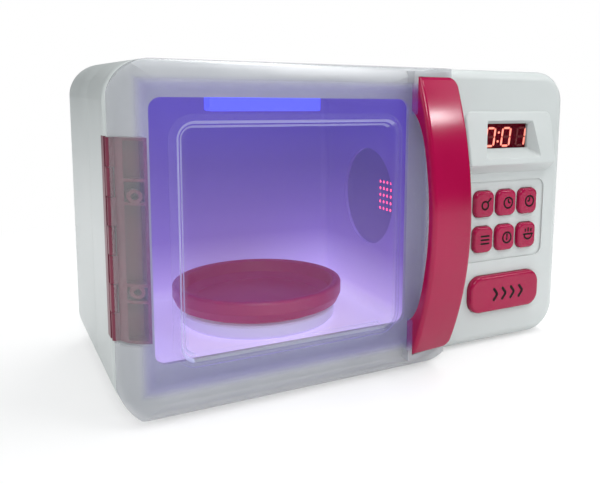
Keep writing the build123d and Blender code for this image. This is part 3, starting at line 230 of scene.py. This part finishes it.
def drift_range(tree, source, low, high):
    spread = tree.nodes.new("ShaderNodeMapRange")
    spread.inputs["To Min"].default_value = low
    spread.inputs["To Max"].default_value = high
    spread.inputs["From Min"].default_value = 0.3
    spread.inputs["From Max"].default_value = 0.7
    tree.links.new(source, spread.inputs["Value"])
    return spread.outputs["Result"]


def moulded(name, dark, light, roughness, grain=0.02, grain_scale=2500.0, drift_scale=18.0, mirror=0.5):
    """A moulded plastic: two close colours, a roughness range and a fine grain."""
    material = bpy.data.materials.new(name)
    material.use_nodes = True
    tree = material.node_tree
    shader = tree.nodes["Principled BSDF"]
    set_value(shader, "Specular IOR Level", mirror)
    broad = object_noise(tree, drift_scale, 4.0)
    ramp = tree.nodes.new("ShaderNodeValToRGB")
    ramp.color_ramp.elements[0].position = 0.35
    ramp.color_ramp.elements[1].position = 0.65
    ramp.color_ramp.elements[0].color = (*dark, 1)
    ramp.color_ramp.elements[1].color = (*light, 1)
    tree.links.new(broad.outputs["Fac"], ramp.inputs["Fac"])
    tree.links.new(ramp.outputs["Color"], shader.inputs["Base Color"])
    rough = drift_range(tree, broad.outputs["Fac"], roughness[0], roughness[1])
    tree.links.new(rough, shader.inputs["Roughness"])
    fine = object_noise(tree, grain_scale, 2.0)
    bump = tree.nodes.new("ShaderNodeBump")
    bump.inputs["Strength"].default_value = grain
    bump.inputs["Distance"].default_value = 0.0002
    tree.links.new(fine.outputs["Fac"], bump.inputs["Height"])
    tree.links.new(bump.outputs["Normal"], shader.inputs["Normal"])
    return material


def finish_node(name, material):
    """Gives one engineering part its finish."""
    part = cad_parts[name]
    part.data.materials.clear()
    part.data.materials.append(material)


# %% [markdown]
# The case is white with a faint cool cast and a satin gloss. The magenta parts are glossier and
# deep in colour. Metal parts, the circuit board and the rubber are seen only at the back, through
# the slots or when the door is open, but they get their own finishes too.

# %% Solid finishes
case_white = moulded("case_white", (0.47, 0.5, 0.495), (0.495, 0.525, 0.52), (0.28, 0.38), 0.03)
magenta_gloss = moulded("magenta_gloss", (0.27, 0.0, 0.038), (0.31, 0.0, 0.046), (0.13, 0.2), 0.015,
                        mirror=0.35)
hinge_magenta = moulded("hinge_magenta", (0.13, 0.018, 0.04), (0.17, 0.025, 0.05), (0.3, 0.4), 0.03,
                        mirror=0.3)
foot_rubber = moulded("foot_rubber", (0.42, 0.43, 0.43), (0.5, 0.51, 0.51), (0.7, 0.85), 0.2, 900.0)
gear_acetal = moulded("gear_acetal", (0.72, 0.71, 0.66), (0.78, 0.77, 0.72), (0.35, 0.45), 0.02)
chassis_plastic = moulded("chassis_plastic", (0.3, 0.31, 0.32), (0.36, 0.37, 0.38), (0.45, 0.6), 0.1)
black_plastic = moulded("black_plastic", (0.012, 0.012, 0.013), (0.02, 0.02, 0.02), (0.35, 0.5), 0.08)
mat_rubber = moulded("mat_rubber", (0.26, 0.26, 0.27), (0.32, 0.32, 0.33), (0.6, 0.75), 0.1)
board_resin = moulded("board_resin", (0.03, 0.16, 0.07), (0.05, 0.22, 0.1), (0.3, 0.45), 0.05, 400.0)
cell_jacket = moulded("cell_jacket", (0.08, 0.08, 0.09), (0.12, 0.12, 0.13), (0.25, 0.35), 0.03)
print_ink = moulded("print_ink", (0.008, 0.0, 0.002), (0.015, 0.0, 0.004), (0.35, 0.5), 0.05, mirror=0.15)
print("plastics made")

# %% [markdown]
# Zinc-plated steel and nickel are metals: the Metallic slider goes to one, and the fine drift in
# roughness is what tells a rolled or plated surface from a mirror.

# %% Metal finishes


def metal(name, dark, light, roughness):
    material = moulded(name, dark, light, roughness, 0.05, 1200.0, 60.0)
    set_value(material.node_tree.nodes["Principled BSDF"], "Metallic", 1.0)
    return material


plated_steel = metal("plated_steel", (0.5, 0.5, 0.5), (0.62, 0.62, 0.63), (0.25, 0.4))
nickel_strip = metal("nickel_strip", (0.6, 0.58, 0.53), (0.7, 0.68, 0.62), (0.18, 0.3))
print("metals made")

# %% [markdown]
# The door shell is frosted: part of the light goes straight through, the rest scatters in a pale
# grey lavender plastic. Each wall is crossed twice, once going in and once coming out, so the
# opacity of one surface is kept low. The oven's light in the plastic is painted: a violet glow and
# a violet tint, both falling off within a few millimetres of the opening behind it. A little distance
# arithmetic on the Object coordinates draws that painted light around the oven's mouth. The same
# distances make the plastic clearer over the lit mouth and over the hinge, so that both can be seen.

# %% Frosted door
GLOW_REACH = 9 * MM
# Painted light on the door: the glow's strength and colour, and the violet tint of its colour.
PAINTED_GLOW_LEVEL = 0.16
PAINTED_GLOW_VIOLET = (0.22, 0.16, 0.8, 1)
PAINTED_LIGHT_TINT = (0.2, 0.17, 0.5, 1)
MOUTH_OPACITY = 0.14
HINGE_OPACITY = 0.16
HINGE_REACH = 2 * MM


def box_distance(tree, low, high):
    """Distance outside a box, seen from the front."""
    place = tree.nodes.new("ShaderNodeTexCoord")
    split = tree.nodes.new("ShaderNodeSeparateXYZ")
    tree.links.new(place.outputs["Object"], split.inputs["Vector"])
    sides = []
    for axis, index in (("X", 0), ("Z", 2)):
        middle = (low[index] + high[index]) / 2
        half = (high[index] - low[index]) / 2
        shift = tree.nodes.new("ShaderNodeMath")
        shift.operation = "SUBTRACT"
        shift.inputs[1].default_value = middle
        size = tree.nodes.new("ShaderNodeMath")
        size.operation = "ABSOLUTE"
        beyond = tree.nodes.new("ShaderNodeMath")
        beyond.operation = "SUBTRACT"
        beyond.inputs[1].default_value = half
        tree.links.new(split.outputs[axis], shift.inputs[0])
        tree.links.new(shift.outputs[0], size.inputs[0])
        tree.links.new(size.outputs[0], beyond.inputs[0])
        sides.append(beyond.outputs[0])
    far = tree.nodes.new("ShaderNodeMath")
    far.operation = "MAXIMUM"
    tree.links.new(sides[0], far.inputs[0])
    tree.links.new(sides[1], far.inputs[1])
    return far.outputs[0]


def distance_range(tree, distance, near, far, reach):
    """A value that goes smoothly from near to far over the reach."""
    fall = tree.nodes.new("ShaderNodeMapRange")
    fall.interpolation_type = "SMOOTHSTEP"
    fall.inputs["From Min"].default_value = 0.0
    fall.inputs["From Max"].default_value = reach
    fall.inputs["To Min"].default_value = near
    fall.inputs["To Max"].default_value = far
    tree.links.new(distance, fall.inputs["Value"])
    return fall.outputs["Result"]


def frosted(name, dark, light, roughness, opacity, grain):
    """Frosted plastic, clearer where the lit cavity is behind it, with painted violet light there."""
    material = moulded(name, dark, light, roughness, grain)
    tree = material.node_tree
    shader = tree.nodes["Principled BSDF"]
    mouth = box_distance(tree, *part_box("cavity_liner"))
    hinge = box_distance(tree, *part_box("door_hinge_leaf"))
    over_mouth = distance_range(tree, mouth, MOUTH_OPACITY, opacity, GLOW_REACH)
    over_hinge = distance_range(tree, hinge, HINGE_OPACITY, 1.0, HINGE_REACH)
    least = tree.nodes.new("ShaderNodeMath")
    least.operation = "MINIMUM"
    tree.links.new(over_mouth, least.inputs[0])
    tree.links.new(over_hinge, least.inputs[1])
    tree.links.new(least.outputs[0], shader.inputs["Alpha"])
    # Painted light: over the oven's mouth the colour turns violet.
    tint = tree.nodes.new("ShaderNodeMix")
    tint.data_type = "RGBA"
    grey = shader.inputs["Base Color"].links[0].from_socket
    tree.links.new(distance_range(tree, mouth, 1.0, 0.0, GLOW_REACH), tint.inputs[0])
    tree.links.new(grey, tint.inputs[6])
    tint.inputs[7].default_value = PAINTED_LIGHT_TINT
    tree.links.new(tint.outputs[2], shader.inputs["Base Color"])
    # Painted light: a violet glow that falls off away from the mouth.
    glow = distance_range(tree, mouth, PAINTED_GLOW_LEVEL, 0.0, GLOW_REACH)
    tree.links.new(glow, shader.inputs["Emission Strength"])
    set_value(shader, "Emission Color", PAINTED_GLOW_VIOLET)
    return material


door_frosted = frosted("door_frosted", (0.45, 0.465, 0.49), (0.49, 0.505, 0.53), (0.2, 0.28), 0.5, 0.03)
print("frosted door made, glow reaches", GLOW_REACH)

# %% [markdown]
# The pane is polished instead: nearly clear, with a gloss that grows towards grazing angles, which
# a Fresnel node gives. The display's window uses the same recipe in a dark red.

# %% Polished windows


def polished(name, colour, opacity, edge_opacity, roughness, mirror):
    material = bpy.data.materials.new(name)
    material.use_nodes = True
    tree = material.node_tree
    shader = tree.nodes["Principled BSDF"]
    set_value(shader, "Base Color", (*colour, 1))
    set_value(shader, "Specular IOR Level", mirror)
    broad = object_noise(tree, 30.0)
    rough = drift_range(tree, broad.outputs["Fac"], roughness, roughness * 2)
    tree.links.new(rough, shader.inputs["Roughness"])
    edge = tree.nodes.new("ShaderNodeFresnel")
    edge.inputs["IOR"].default_value = 1.45
    spread = tree.nodes.new("ShaderNodeMapRange")
    spread.inputs["To Min"].default_value = opacity
    spread.inputs["To Max"].default_value = edge_opacity
    tree.links.new(edge.outputs["Fac"], spread.inputs["Value"])
    tree.links.new(spread.outputs["Result"], shader.inputs["Alpha"])
    return material


pane_clear = polished("pane_clear", (0.6, 0.6, 0.9), 0.015, 0.6, 0.03, 0.3)
display_glass = polished("display_glass", (0.02, 0.0, 0.003), 0.2, 0.9, 0.05, 0.2)
print("windows made")

# %% [markdown]
# Inside the oven a blue lamp lights white plastic. Its light turns from violet at the ceiling to
# lilac at the floor. That light is painted into the liner along its height, both as its colour and
# as a soft glow, so the cavity reads as lit from any side. The speaker grille carries the same
# painted light, darker. The light bar glows in a purer blue. The plate and the turntable base also
# glow a little: painted light that stands for the oven light they catch.

# %% Glowing finishes and painted oven light
FLOOR_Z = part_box("cavity_liner")[0][2]
CEILING_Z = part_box("cavity_liner")[1][2]


def height_ramp(tree, stops):
    """Colours by height between the cavity's floor and its ceiling."""
    place = tree.nodes.new("ShaderNodeTexCoord")
    split = tree.nodes.new("ShaderNodeSeparateXYZ")
    spread = tree.nodes.new("ShaderNodeMapRange")
    spread.inputs["From Min"].default_value = FLOOR_Z
    spread.inputs["From Max"].default_value = CEILING_Z
    ramp = tree.nodes.new("ShaderNodeValToRGB")
    first, last = stops[0], stops[-1]
    ramp.color_ramp.elements[0].position = first[0]
    ramp.color_ramp.elements[0].color = (*first[1], 1)
    ramp.color_ramp.elements[1].position = last[0]
    ramp.color_ramp.elements[1].color = (*last[1], 1)
    for where, colour in stops[1:-1]:
        stop = ramp.color_ramp.elements.new(where)
        stop.color = (*colour, 1)
    tree.links.new(place.outputs["Object"], split.inputs["Vector"])
    tree.links.new(split.outputs["Z"], spread.inputs["Value"])
    tree.links.new(spread.outputs["Result"], ramp.inputs["Fac"])
    return ramp.outputs["Color"]


def plastic_with_painted_light(name, stops, glow, mirror=0.15):
    """Plastic with painted oven light: colour and glow both follow the height in the cavity."""
    material = moulded(name, (0.5, 0.5, 0.6), (0.55, 0.55, 0.65), (0.35, 0.45), 0.03, mirror=mirror)
    tree = material.node_tree
    shader = tree.nodes["Principled BSDF"]
    colour = height_ramp(tree, stops)
    tree.links.new(colour, shader.inputs["Base Color"])
    tree.links.new(colour, shader.inputs["Emission Color"])
    set_value(shader, "Emission Strength", glow)
    return material


# Painted oven light by height: bright lilac at the floor, deep violet at the ceiling.
CAVITY_STOPS = (
    (0.0, (0.68, 0.6, 0.83)),
    (0.08, (0.48, 0.38, 0.7)),
    (0.3, (0.23, 0.15, 0.47)),
    (0.65, (0.125, 0.075, 0.35)),
    (1.0, (0.085, 0.055, 0.4)),
)
# The grille carries the same painted light, darker.
GRILLE_STOPS = tuple((where, tuple(0.72 * part for part in colour)) for where, colour in CAVITY_STOPS)
BASE_STOPS = ((0.0, (0.52, 0.47, 0.68)), (0.1, (0.5, 0.46, 0.64)), (1.0, (0.4, 0.35, 0.6)))
LENS_STOPS = ((0.0, (0.05, 0.07, 0.95)), (1.0, (0.06, 0.08, 1.0)))
liner_painted_light = plastic_with_painted_light("liner_painted_light", CAVITY_STOPS, 0.5)
grille_painted_light = plastic_with_painted_light("grille_painted_light", GRILLE_STOPS, 0.45)
base_painted_light = plastic_with_painted_light("base_painted_light", BASE_STOPS, 0.35)
lens_glow = plastic_with_painted_light("lens_glow", LENS_STOPS, 1.5)
# The plate's glow is painted light, for the oven light it catches.
PLATE_STOPS = ((0.0, (0.24, 0.0, 0.055)), (1.0, (0.27, 0.0, 0.065)))
plate_magenta_painted_light = plastic_with_painted_light("plate_magenta_painted_light", PLATE_STOPS, 0.4, 0.5)


def lamp_red(name, colour, glow):
    material = moulded(name, (0.2, 0.0, 0.01), (0.25, 0.0, 0.015), (0.2, 0.3), 0.01, mirror=0.2)
    shader = material.node_tree.nodes["Principled BSDF"]
    set_value(shader, "Emission Color", (*colour, 1))
    set_value(shader, "Emission Strength", glow)
    return material


red_lamp = lamp_red("red_lamp", (1.0, 0.05, 0.12), 5.0)
digit_lit = lamp_red("digit_lit", (1.0, 0.27, 0.2), 3.4)
digit_dim = lamp_red("digit_dim", (0.2, 0.06, 0.06), 1.0)
display_back = lamp_red("display_back", (0.05, 0.0, 0.003), 1.0)
print("glowing finishes made, materials in all", len(bpy.data.materials))

# %% Finishes for every part
FINISHES = {
    case_white: ("front_shell", "rear_shell", "battery_cover"),
    magenta_gloss: ("door_handle", "open_button", "key_1", "key_2", "key_3", "key_4", "key_5", "key_6"),
    hinge_magenta: ("door_hinge_leaf", "case_hinge_leaf"),
    plate_magenta_painted_light: ("turntable_plate",),
    foot_rubber: ("foot_front_left", "foot_front_right", "foot_rear_left", "foot_rear_right"),
    liner_painted_light: ("cavity_liner",),
    grille_painted_light: ("speaker_grille",),
    base_painted_light: ("turntable_base",),
    lens_glow: ("light_lens",),
    red_lamp: ("indicator_led",),
    door_frosted: ("door_shell",),
    pane_clear: ("door_window",),
    display_glass: ("display_lens",),
    display_back: ("display_module",),
    gear_acetal: ("turntable_gear", "reduction_gear", "motor_pinion", "latch_hook", "latch_slider"),
    chassis_plastic: ("gear_chassis", "latch_bracket", "battery_tray"),
    black_plastic: ("speaker", "power_switch", "switch_knob"),
    mat_rubber: ("keypad_mat",),
    board_resin: ("main_board", "light_board"),
    cell_jacket: ("battery_cells",),
    nickel_strip: ("battery_contacts",),
    plated_steel: ("hinge_pin", "handle_screws", "button_springs", "gear_pins", "drive_motor", "cover_screw",
                   "case_screws"),
}
for material, names in FINISHES.items():
    for name in names:
        finish_node(name, material)
print("finished", sum(len(names) for names in FINISHES.values()), "parts")

# %% [markdown]
# Small pieces are modelled once and copied, each copy with its own mesh. Three helpers keep that
# tidy: one selects faces in edit mode by a test, one copies a mesh to a new place through a
# matrix, and one joins copies into a single piece whose origin stays at zero.

# %% Helpers for small pieces


def select_faces(piece, test):
    """Selects the faces of a piece in edit mode that pass a test."""
    mesh = bmesh.from_edit_mesh(piece.data)
    for part in (*mesh.verts, *mesh.edges, *mesh.faces):
        part.select = False
    mesh.select_mode = {"FACE"}
    for face in mesh.faces:
        face.select_set(test(face))
    mesh.select_flush_mode()
    bmesh.update_edit_mesh(piece.data)


def settle(piece):
    """Puts the piece's place into its mesh, so that its origin is at zero."""
    bpy.ops.object.select_all(action="DESELECT")
    piece.select_set(True)
    bpy.context.view_layer.objects.active = piece
    bpy.ops.object.transform_apply(location=True, rotation=True, scale=True)


def copy_through(pattern, matrix):
    """A copy of the pattern with its own mesh, moved by the matrix."""
    copy = pattern.copy()
    copy.data = pattern.data.copy()
    copy.data.transform(matrix)
    bpy.context.scene.collection.objects.link(copy)
    return copy


def join_pieces(pieces, name, material, body):
    """Joins copies into one piece, finishes it and lets it ride."""
    bpy.ops.object.select_all(action="DESELECT")
    for piece in pieces:
        piece.select_set(True)
    bpy.context.view_layer.objects.active = pieces[0]
    if len(pieces) > 1:
        bpy.ops.object.join()
    whole = bpy.context.object
    whole.name = name
    whole.data.materials.clear()
    whole.data.materials.append(material)
    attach(whole, body)
    return whole


def discard(pattern):
    bpy.data.objects.remove(pattern, do_unlink=True)


# %% [markdown]
# The display has three seven-segment digits and a colon, which lean to the right as on most clocks.
# One segment is a flat bar with pointed ends: a cube is flattened, and each end is extruded and
# pinched. Every digit is seven copies of it. The segments that are off still show as a dim ghost.

# %% Display segments
DIGIT_HEIGHT = 11.3 * MM
DIGIT_WIDTH = 6.5 * MM
SEGMENT_WIDTH = 1.3 * MM
SEGMENT_THICKNESS = 0.2 * MM
DIGIT_LEAN = 0.13
DIGIT_GAP = 0.35 * MM
module_low, module_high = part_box("display_module")
DIGIT_FACE_Y = module_low[1] - 0.15 * MM
DIGIT_MIDDLE_Z = (module_low[2] + module_high[2]) / 2 - 0.9 * MM
DIGIT_PLACES = (87.2 * MM, 99.9 * MM, 112.3 * MM)
COLON_X = 93.6 * MM


def segment_pattern():
    """One upright bar with pointed ends, about the origin."""
    half = (DIGIT_HEIGHT / 2 - SEGMENT_WIDTH - DIGIT_GAP) / 2
    bpy.ops.object.select_all(action="DESELECT")
    bpy.ops.mesh.primitive_cube_add(size=1)
    bar = bpy.context.object
    bar.scale = (SEGMENT_WIDTH, SEGMENT_THICKNESS, 2 * half)
    bpy.ops.object.transform_apply(location=False, rotation=False, scale=True)
    bpy.ops.object.mode_set(mode="EDIT")
    for way in (-1, 1):
        select_faces(bar, lambda face: face.normal.z * way > 0.9)
        bpy.ops.mesh.extrude_region_move(TRANSFORM_OT_translate={"value": (0, 0, way * SEGMENT_WIDTH / 2)})
        bpy.ops.transform.resize(value=(0.12, 1, 1))
    bpy.ops.object.mode_set(mode="OBJECT")
    return bar


def segment_places():
    """Where each of the seven segments lies in an upright digit, and whether it lies flat."""
    side = DIGIT_WIDTH / 2
    quarter = DIGIT_HEIGHT / 4
    return {
        "top": (0, DIGIT_HEIGHT / 2, True), "middle": (0, 0, True), "bottom": (0, -DIGIT_HEIGHT / 2, True),
        "high_left": (-side, quarter, False), "high_right": (side, quarter, False),
        "low_left": (-side, -quarter, False), "low_right": (side, -quarter, False),
    }


def lean_matrix(x):
    lean = Matrix.Identity(4)
    lean[0][2] = DIGIT_LEAN
    return Matrix.Translation((x, DIGIT_FACE_Y, DIGIT_MIDDLE_Z)) @ lean


def digit_copies(pattern, x, names):
    copies = []
    flat_share = (DIGIT_WIDTH - SEGMENT_WIDTH - 2 * DIGIT_GAP) / (DIGIT_HEIGHT / 2 - 2 * DIGIT_GAP)
    for name in names:
        dx, dz, flat = segment_places()[name]
        turn = Matrix.Identity(4)
        if flat:
            turn = Matrix.Rotation(math.radians(90), 4, "Y") @ Matrix.Scale(flat_share, 4, (0, 0, 1))
        copies.append(copy_through(pattern, lean_matrix(x) @ Matrix.Translation((dx, 0, dz)) @ turn))
    return copies


ZERO = ("top", "bottom", "high_left", "high_right", "low_left", "low_right")
ONE = ("high_right", "low_right")
ALL_SEGMENTS = tuple(segment_places())
pattern = segment_pattern()
lit = []
dim = []
for x, shown in zip(DIGIT_PLACES, (ZERO, ZERO, ONE)):
    lit = lit + digit_copies(pattern, x, shown)
    dim = dim + digit_copies(pattern, x, [name for name in ALL_SEGMENTS if name not in shown])
discard(pattern)

# %% Colon
COLON_RADIUS = 0.75 * MM
bpy.ops.object.select_all(action="DESELECT")
bpy.ops.mesh.primitive_cylinder_add(vertices=24, radius=COLON_RADIUS, depth=SEGMENT_THICKNESS,
                                    rotation=(math.radians(90), 0, 0))
dot = bpy.context.object
settle(dot)
bpy.ops.object.mode_set(mode="EDIT")
select_faces(dot, lambda face: abs(face.normal.y) > 0.9)
bpy.ops.mesh.bevel(offset=SEGMENT_THICKNESS / 3, segments=1)
bpy.ops.object.mode_set(mode="OBJECT")
for way in (-1, 1):
    lit.append(copy_through(dot, lean_matrix(COLON_X) @ Matrix.Translation((0, 0, way * DIGIT_HEIGHT / 4))))
discard(dot)
join_pieces(lit, "display_digits_lit", digit_lit, "case")
join_pieces(dim, "display_digits_dim", digit_dim, "case")
print("display segments", len(lit), "lit and", len(dim), "dim")

# %% [markdown]
# Red light shines through the pattern of small holes beside the cavity. Each hole gets a tiny
# domed disc just behind its face: a cylinder whose front is inset and pushed out. All the discs
# are copies of one, so they have the same size.

# %% Red points of light
HOLE_RADIUS = 0.9 * MM
HOLE_PITCH = 4.2 * MM
HOLE_ROWS = 5
POINT_THICKNESS = 0.3 * MM
POINT_DOME = 0.12 * MM
POINT_DEPTH = 0.5 * MM
POINT_SHARE = 0.96
GRILLE_FACE_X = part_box("speaker_grille")[0][0]
lamp_low, lamp_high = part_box("indicator_led")
LAMP_Y = (lamp_low[1] + lamp_high[1]) / 2
LAMP_Z = (lamp_low[2] + lamp_high[2]) / 2

bpy.ops.object.select_all(action="DESELECT")
bpy.ops.mesh.primitive_cylinder_add(vertices=20, radius=HOLE_RADIUS * POINT_SHARE,
                                    depth=POINT_THICKNESS,
                                    rotation=(0, math.radians(90), 0))
point = bpy.context.object
settle(point)
bpy.ops.object.mode_set(mode="EDIT")
select_faces(point, lambda face: face.normal.x < -0.9)
bpy.ops.mesh.inset(thickness=HOLE_RADIUS * 0.4, depth=POINT_DOME)
bpy.ops.object.mode_set(mode="OBJECT")
points = []
for row in range(HOLE_ROWS):
    for column in range(HOLE_ROWS):
        dy = (column - (HOLE_ROWS - 1) / 2) * HOLE_PITCH
        dz = (row - (HOLE_ROWS - 1) / 2) * HOLE_PITCH
        place = Matrix.Translation((GRILLE_FACE_X + POINT_DEPTH, LAMP_Y + dy, LAMP_Z + dz))
        points.append(copy_through(point, place))
discard(point)
join_pieces(points, "sound_hole_light", red_lamp, "case")
print("points of light", len(points))

# %% [markdown]
# The keys and the wide button carry simple printed signs in a near-black ink: clock faces, a pan,
# rays of heat and a bowl on the keys, and a row of chevrons on the button that opens the door. All
# are built flat from two shapes, a ring and a bar, and then get a paper-thin wall with Solidify,
# which a modifier does better than hand work because the wall stays even.

# %% Printed signs: ring and bar
INK = 0.06 * MM
STROKE = 1.2 * MM


def flat_bar(length, width, angle, x, z):
    """A thin bar with rounded ends in the XZ plane."""
    bpy.ops.object.select_all(action="DESELECT")
    bpy.ops.mesh.primitive_plane_add(size=1, rotation=(math.radians(90), 0, 0))
    bar = bpy.context.object
    settle(bar)
    bar.data.transform(Matrix.Diagonal((length, 1, width, 1)))
    bpy.ops.object.mode_set(mode="EDIT")
    bpy.ops.mesh.select_all(action="SELECT")
    bpy.ops.mesh.bevel(offset=width * 0.45, segments=4, affect="VERTICES")
    bpy.ops.object.mode_set(mode="OBJECT")
    bar.data.transform(Matrix.Translation((x, 0, z)) @ Matrix.Rotation(math.radians(-angle), 4, "Y"))
    return bar


def flat_ring(radius, start, end, x=0.0, z=0.0):
    """A part of a flat ring between two angles, counted from the right and upwards."""
    bpy.ops.object.select_all(action="DESELECT")
    bpy.ops.mesh.primitive_circle_add(vertices=48, radius=radius, fill_type="NOTHING",
                                      rotation=(math.radians(90), 0, 0))
    ring = bpy.context.object
    settle(ring)
    bpy.ops.object.mode_set(mode="EDIT")
    bpy.ops.mesh.select_all(action="SELECT")
    bpy.ops.mesh.extrude_edges_move()
    bpy.ops.transform.resize(value=(1 - STROKE / radius, 1, 1 - STROKE / radius))

    def outside(face):
        middle = face.calc_center_median()
        angle = math.degrees(math.atan2(middle.z, middle.x)) % 360
        return not start <= angle <= end

    if end - start < 360:
        select_faces(ring, outside)
        bpy.ops.mesh.delete(type="FACE")
    bpy.ops.object.mode_set(mode="OBJECT")
    ring.data.transform(Matrix.Translation((x, 0, z)))
    return ring


def printed(parts, name, place, body):
    """Joins the flat parts, gives them the ink's thickness and puts them on a face."""
    sign = join_pieces(parts, name, print_ink, body)
    wall = sign.modifiers.new("ink", "SOLIDIFY")
    wall.thickness = INK
    wall.offset = 0
    bpy.ops.object.modifier_apply(modifier=wall.name)
    bpy.ops.object.mode_set(mode="EDIT")
    bpy.ops.mesh.select_all(action="SELECT")
    bpy.ops.mesh.normals_make_consistent(inside=False)
    bpy.ops.object.mode_set(mode="OBJECT")
    sign.data.transform(Matrix.Translation(place))
    return sign


# %% Signs on the six keys
FACE_LIFT = 0.02 * MM


def face_place(node, dx=0.0, dz=0.0):
    """The middle of a key's front face."""
    low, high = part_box(node)
    return Vector(((low[0] + high[0]) / 2 + dx, low[1] - FACE_LIFT, (low[2] + high[2]) / 2 + dz))


def clock_sign(first, second):
    """A clock face with two hands at the given angles."""
    hands = []
    for angle, length in ((first, 2.6 * MM), (second, 1.9 * MM)):
        turn = math.radians(angle)
        across = math.cos(turn) * length / 2
        up = math.sin(turn) * length / 2
        hands.append(flat_bar(length, STROKE, angle, across, up))
    return [flat_ring(4.0 * MM, 0, 360)] + hands


SIGNS = {
    "key_1": [flat_ring(3.1 * MM, 0, 360, -0.8 * MM, -0.6 * MM),
              flat_bar(3.6 * MM, STROKE, 45, 2.6 * MM, 2.7 * MM)],
    "key_2": clock_sign(90, 0),
    "key_3": clock_sign(90, 180),
    "key_4": [flat_bar(7.2 * MM, STROKE, 0, 0, shift) for shift in (-2.4 * MM, 0, 2.4 * MM)],
    "key_5": clock_sign(90, 270),
    "key_6": [flat_ring(3.9 * MM, 180, 360, 0, 0.8 * MM), flat_bar(8.6 * MM, STROKE, 0, 0, 0.8 * MM),
              flat_bar(2.4 * MM, STROKE, 90, -2.4 * MM, 3.4 * MM),
              flat_bar(3.0 * MM, STROKE, 90, 0, 3.7 * MM),
              flat_bar(2.4 * MM, STROKE, 90, 2.4 * MM, 3.4 * MM)],
}
for node, parts in SIGNS.items():
    printed(parts, node + "_sign", face_place(node, 0.8 * MM, 0.0), node)
print("signs on", len(SIGNS), "keys")

# %% Chevrons on the door button
CHEVRON_SIZE = 7.4 * MM
CHEVRON_STROKE = 1.9 * MM
CHEVRON_PITCH = 7.0 * MM
strokes = []
for index in range(4):
    x = (index - 1.5) * CHEVRON_PITCH
    for way in (-1, 1):
        strokes.append(flat_bar(CHEVRON_SIZE * 0.78, CHEVRON_STROKE, -way * 52, x, way * CHEVRON_SIZE * 0.27))
printed(strokes, "open_button_chevrons", face_place("open_button", 2.0 * MM, -0.5 * MM), "open_button")
print("chevrons", len(strokes) // 2)
